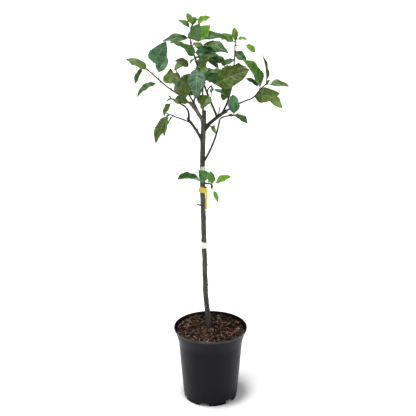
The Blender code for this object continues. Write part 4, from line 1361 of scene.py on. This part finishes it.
# %% Cut the notches
NOTCH_COUNT = 6
NOTCH_WIDTH = 30 * MM
NOTCH_HEIGHT = 12.5 * MM
NOTCH_CORNER = 2.5 * MM
CUTTER_DEPTH = 16 * MM
FIRST_NOTCH = math.radians(-104)
cutter_bm = bmesh.new()
for index in range(NOTCH_COUNT):
    made = bmesh.ops.create_cube(cutter_bm, size=1)["verts"]
    bmesh.ops.scale(cutter_bm, vec=(CUTTER_DEPTH, NOTCH_WIDTH, 2 * NOTCH_HEIGHT), verts=made)
    outward = {e for v in made for e in v.link_edges if abs(e.verts[0].co.x - e.verts[1].co.x) > MM}
    upper = [e for e in outward if all(v.co.z > 0 for v in e.verts)]
    rounded = bmesh.ops.bevel(
        cutter_bm, geom=upper, offset=NOTCH_CORNER, segments=4, profile=0.5, affect="EDGES",
        material=-1,
    )
    made = list({v for v in made if v.is_valid} | set(rounded["verts"]))
    bmesh.ops.translate(cutter_bm, vec=(FOOT_RADIUS - 1 * MM, 0, 0), verts=made)
    turn = Matrix.Rotation(FIRST_NOTCH + math.tau * index / NOTCH_COUNT, 3, "Z")
    bmesh.ops.rotate(cutter_bm, cent=(0, 0, 0), matrix=turn, verts=made)
whole_pot = placed("whole_pot", mesh_of("whole_pot", pot_bm))
cutter = placed("notch_cutter", mesh_of("notch_cutter", cutter_bm))
notching = whole_pot.modifiers.new("notches", "BOOLEAN")
notching.operation, notching.object, notching.solver = "DIFFERENCE", cutter, "EXACT"
bpy.context.view_layer.update()
notched = whole_pot.evaluated_get(bpy.context.evaluated_depsgraph_get())
pot_bm = bmesh.new()
pot_bm.from_mesh(bpy.data.meshes.new_from_object(notched))
for spare in (whole_pot, cutter):
    bpy.data.objects.remove(spare)
for face in pot_bm.faces:
    face.material_index = 1 if face.calc_center_median().z > rim_foot else 0
piece("pot_shell", pot_bm, [POT_BLACK, RIM_BLACK], ["pot"], 32)

# %% [markdown]
# ## The bed of mix
# The mix is spun too, then its upper face is roughened by noise at two scales: heaps some
# centimetres wide, and crumbs of a few millimetres. It heaps slightly at the stem and at the
# rear, and sinks at the rest of the pot's wall.

# %% Spin and roughen the bed
MIX_SETTLE = 4 * MM
UNDER_CHIPS = 4.5 * MM
REAR_RISE = 3.5 * MM
MIX_EDGE = flare_radius(MIX_HEIGHT - MIX_SETTLE) - WALL - 1.2 * MM
BED_EDGE = flare_radius(MIX_HEIGHT - MIX_SETTLE - UNDER_CHIPS - 3 * MM) - WALL - 0.4 * MM


def mix_height(radius):
    """The bed's height, before the crumbs."""
    return MIX_HEIGHT - MIX_SETTLE * min(1.0, radius / MIX_EDGE) ** 2 - UNDER_CHIPS


def heaped(y):
    """How much higher the mix lies towards the rear of the pot."""
    return REAR_RISE * max(0.0, y / MIX_EDGE) ** 2


bed_rings = 44
bed_radii = [BED_EDGE * row / bed_rings for row in range(bed_rings, -1, -1)]
bed_section = [
    (0, 60 * MM), (60 * MM, 60 * MM), (86 * MM, 70 * MM), (91 * MM, NECK_HEIGHT - 10 * MM),
    (NECK_RADIUS - WALL - 2.5 * MM, NECK_HEIGHT), (BED_EDGE, mix_height(BED_EDGE) - 3 * MM),
    *[(radius, mix_height(radius)) for radius in bed_radii],
]
bm = spun(bed_section, 150)
for vert in bm.verts:
    if vert.co.z > mix_height(BED_EDGE) - 1 * MM and vert.co.xy.length < BED_EDGE - 0.5 * MM:
        heaps = noise.noise(vert.co / (26 * MM))
        crumbs = noise.turbulence(vert.co / (6 * MM), 3, False)
        vert.co.z += 1.6 * MM * heaps + 2.2 * MM * (crumbs - 0.5) + heaped(vert.co.y)
piece("mix_bed", bm, [MIX_DARK], ["potting_mix"], 60)

# %% [markdown]
# ## Bark chips
# Shredded bark breaks into splinters: long, flat and frayed. Six splinters are cut from blocks,
# each bent and roughened by its own seed, and some 2,500 copies are strewn over the bed in a
# loose layer 6 mm deep, turned every way and tilted. A chip near the wall turns along it, and
# none lies where the trunk stands. Each copy has only 24 faces, as there are so many.

# %% Strew the chips
CHIP_COUNT = 2600
# The large weathered share is partly painted shade between the chips.
CHIP_MIX = (20, 20, 18, 36, 6)
CLEAR_OF_TRUNK = 11 * MM


def chip_pattern(seed):
    """One splinter, a metre long and lying along X."""
    rng = random.Random(seed)
    bm = bmesh.new()
    made = bmesh.ops.create_cube(bm, size=1)["verts"]
    bmesh.ops.scale(bm, vec=(1, rng.uniform(0.13, 0.24), rng.uniform(0.08, 0.16)), verts=made)
    bmesh.ops.subdivide_edges(bm, edges=bm.edges[:], cuts=1, use_grid_fill=True)
    bend = rng.uniform(-0.25, 0.25)
    for vert in bm.verts:
        ends = abs(vert.co.x) * 2
        vert.co.y *= 1 - rng.uniform(0.1, 0.6) * ends
        vert.co.z = vert.co.z * (1 - 0.4 * ends) + bend * vert.co.x ** 2
        vert.co += Vector([rng.uniform(-0.06, 0.06) for _ in range(3)])
    return mesh_of("chip_pattern", bm)


def strewn(rng):
    """A chip's place, turn and length, or nothing where it would touch the wall or the trunk."""
    radius = MIX_EDGE * math.sqrt(rng.random())
    azimuth = rng.uniform(0, math.tau)
    yaw = rng.uniform(0, math.pi)
    length = rng.triangular(8, 28, 16) * MM
    if radius > MIX_EDGE - 12 * MM:
        yaw = azimuth + math.pi / 2 + rng.uniform(-0.5, 0.5)
    reach = length * (0.5 * abs(math.cos(yaw - azimuth)) + 0.25)
    radius = min(radius, MIX_EDGE - reach)
    x, y = radius * math.cos(azimuth), radius * math.sin(azimuth)
    from_trunk = math.hypot(x - TRUNK[0].x, y - TRUNK[0].y)
    if from_trunk < CLEAR_OF_TRUNK + 0.4 * length:
        return None
    z = mix_height(radius) + heaped(y) + rng.uniform(0.4, 6.4) * MM
    tilt = Matrix.Rotation(rng.gauss(0, 0.28), 4, "Y") @ Matrix.Rotation(rng.gauss(0, 0.45), 4, "X")
    turn = Matrix.Rotation(yaw, 4, "Z") @ tilt
    return Matrix.Translation((x, y, z)) @ turn @ Matrix.Scale(length, 4)


chip_patterns = [chip_pattern(seed) for seed in range(6)]
rng = random.Random(31)
bm = bmesh.new()
strewn_count = 0
for _ in range(CHIP_COUNT):
    place = strewn(rng)
    shape, tone = rng.choice(chip_patterns), rng.choices(range(len(CHIP_MIX)), CHIP_MIX)[0]
    if place is None:
        continue
    verts, faces = copied(bm, shape)
    bmesh.ops.transform(bm, matrix=place, verts=verts)
    for face in faces:
        face.material_index = tone
    strewn_count += 1
print("chips strewn:", strewn_count)
piece("bark_chips", bm, CHIP_BARK, ["potting_mix"], 30)

# %% [markdown]
# ## Bands round the trunk
# A band is a closed loop of section points that is carried once round the trunk. A grid that
# wraps both ways gives the faces, and merging doubles closes it. The wound film has a step at
# the edge of each turn, wrinkles, and an edge that wanders.

# %% Wind the tape


def trunk_at(height):
    """The trunk's centre and radius at a height, found by halving."""
    low, high = 0.0, 1.0
    for _ in range(24):
        middle = (low + high) / 2
        if bezier(TRUNK, middle).z < height:
            low = middle
        else:
            high = middle
    return kinked(bezier(TRUNK, low)), between(TRUNK_RADII, low) + BARK_DEPTH


def add_band(bm, section, sides, place):
    """A ring of a closed section of (out, up). The rule place says where each point goes."""
    loop = [*section, section[0]]
    made = grid_verts(bm, sides, len(section))
    for vert, column, row in made:
        vert.co = place(math.tau * column / sides % math.tau, *loop[row])
    bmesh.ops.remove_doubles(bm, verts=[vert for vert, _, _ in made], dist=WELD)


def tape_section(height, turns):
    """The film's section: up the outside with a step for each turn, and down the inside."""
    outside = []
    for turn in range(turns):
        low, high = height * turn / turns, height * (turn + 1) / turns
        step = (0.5 + 0.2 * (turn % 2)) * MM
        middle = (step + 0.12 * MM, (low + high) / 2)
        outside += [(step, low + 0.2 * MM), middle, (step, high - 0.1 * MM)]
    return [*outside, (0.0, height), (0.0, height * 2 / 3), (0.0, height / 3), (0.0, 0.0)]


def tape_rule(low, height, lean, pinch, seed):
    """The place of a point on wound film: how its edges lean, draw in and wrinkle."""
    def place(angle, out, up):
        drawn = 1 - pinch * (0.5 + 0.5 * math.cos(angle))
        level = low + height / 2 + (up - height / 2) * drawn + lean * math.cos(angle + 0.6)
        centre, radius = trunk_at(level)
        around = Vector((math.cos(angle), math.sin(angle), 0))
        fold = noise.noise(Vector((around.x * 1.7, around.y * 1.7, up / (3.5 * MM) + seed)))
        edge = noise.noise(Vector((around.x * 2.3, around.y * 2.3, seed + 7.0)))
        wandered = Vector((0, 0, 0.5 * MM * edge * (1 if up > height / 2 else -0.6)))
        return centre + (radius + 0.6 * MM + out + 0.22 * MM * fold) * around + wandered
    return place


TAPES = (
    ("tape_upper_wraps", "tie_upper", 757.5 * MM, 20 * MM, 3, 0.3 * MM, 0.05, 3.0),
    ("tape_lower_wraps", "tie_lower", 510 * MM, 23 * MM, 2, -1.0 * MM, 0.25, 9.0),
)
for name, node, low, height, turns, lean, pinch, seed in TAPES:
    bm = bmesh.new()
    add_band(bm, tape_section(height, turns), 64, tape_rule(low, height, lean, pinch, seed))
    piece(name, bm, [TAPE_WHITE], [node], 55)

# %% [markdown]
# ## The label
# The strap is looped loosely round the trunk on a slant, and its loose end hangs down on the
# right. The loop is a band whose ring is tilted. The end is a thin plate with rounded corners and
# a slight curl. Its face is bare.

# %% Loop the strap
LABEL_HEIGHT = 703 * MM
LABEL_WIDTH = 17 * MM
LABEL_LOOP_RADIUS = 10.4 * MM
LABEL_SLANT = math.radians(16)
LABEL_TAIL = 64 * MM
LABEL_TAIL_WIDTH = 6 * MM
TAIL_CORNER = 3 * MM
TAIL_ROWS = 26
STRAP_SHEET = 0.5 * MM
trunk_point, trunk_radius = trunk_at(LABEL_HEIGHT)
slack = LABEL_LOOP_RADIUS - trunk_radius - 2 * GAP
loop_centre = trunk_point + Vector((0.1 * slack, 0, 0))
slant = Matrix.Rotation(LABEL_SLANT, 3, "Y")


def strap_place(angle, out, up):
    """The loop is slightly oval and its edges cup outwards."""
    cup = 0.35 * MM * (2 * up / LABEL_WIDTH) ** 2
    radius = LABEL_LOOP_RADIUS + 0.1 * MM + out + cup + 0.12 * MM * math.cos(2 * angle)
    return loop_centre + slant @ Vector((radius * math.cos(angle), radius * math.sin(angle), up))


strap_rows = [LABEL_WIDTH * (row / 6 - 0.5) for row in range(7)]
strap_section = [(STRAP_SHEET, up) for up in strap_rows]
strap_section += [(0.0, up) for up in reversed(strap_rows)]
bm = bmesh.new()
add_band(bm, strap_section, 72, strap_place)
made = bmesh.ops.create_grid(bm, x_segments=4, y_segments=TAIL_ROWS, size=0.5)["verts"]
tail_faces = list(faces_of(made))
tail_top = loop_centre + Vector((LABEL_LOOP_RADIUS + 0.9 * MM, 0, 0))
for vert in made:
    down = 0.5 - vert.co.y
    near_end = max(0.0, down * LABEL_TAIL - (LABEL_TAIL - TAIL_CORNER)) / TAIL_CORNER
    narrow = 1 - 0.45 * near_end ** 2
    curl = 0.6 * MM * math.sin(math.pi * down) + 0.5 * MM * abs(vert.co.x * 2) ** 2
    vert.co = tail_top + Vector((vert.co.x * LABEL_TAIL_WIDTH * narrow, -curl, -down * LABEL_TAIL))
# The loose end takes the paler yellow, a painted highlight.
for face in tail_faces:
    face.material_index = 1
bmesh.ops.solidify(bm, geom=tail_faces, thickness=STRAP_SHEET)
piece("label_strap", bm, [STRAP_YELLOW, STRAP_PAINTED_HIGHLIGHT], ["label"], 50)

# %% [markdown]
# ## Floor, light and camera
# The tree stands on a plain white floor under soft light. A broad lamp hangs almost overhead and
# leaves only a small shade on the right of the pot's foot. A weaker and wider one stands at the
# front, and an even white world fills the shadows. The camera looks down on the pot by 19
# degrees, from three metres in front.

# %% Set the stage
FLOOR_REACH = 40
FLOOR_WHITE = finish("pale_matte_floor", linear("#ffffff"), Roughness=0.9, Specular_IOR_Level=0.1)
bm = bmesh.new()
bmesh.ops.create_grid(bm, x_segments=1, y_segments=1, size=FLOOR_REACH)
floor = placed("floor", mesh_of("floor", bm))
floor.data.materials.append(FLOOR_WHITE)

WORLD_STRENGTH = 0.3
world = bpy.data.worlds.new("soft_white_studio")
world.use_nodes = True
background = world.node_tree.nodes["Background"]
background.inputs["Color"].default_value = (1, 1, 1, 1)
background.inputs["Strength"].default_value = WORLD_STRENGTH
bpy.context.scene.world = world

LAMPS = (
    ("overhead_key", 3.8, 16, (4, -5, 0)),
    ("front_fill", 0.5, 60, (45, 0, 12)),
)
for name, strength, width, turn in LAMPS:
    lamp_data = bpy.data.lights.new(name, "SUN")
    lamp_data.energy = strength
    lamp_data.angle = math.radians(width)
    placed(name, lamp_data).rotation_euler = [math.radians(angle) for angle in turn]

CAMERA_PLACE = (-0.008, -3.0, 1.683)
CAMERA_LOOKS_DOWN = 19.13
camera = placed("camera", bpy.data.cameras.new("camera"))
camera.data.lens = 89.5
camera.data.sensor_width = 36
camera.location = CAMERA_PLACE
camera.rotation_euler = (math.radians(90 - CAMERA_LOOKS_DOWN), 0, 0)
bpy.context.scene.camera = camera
bpy.context.scene.view_settings.view_transform = "Standard"
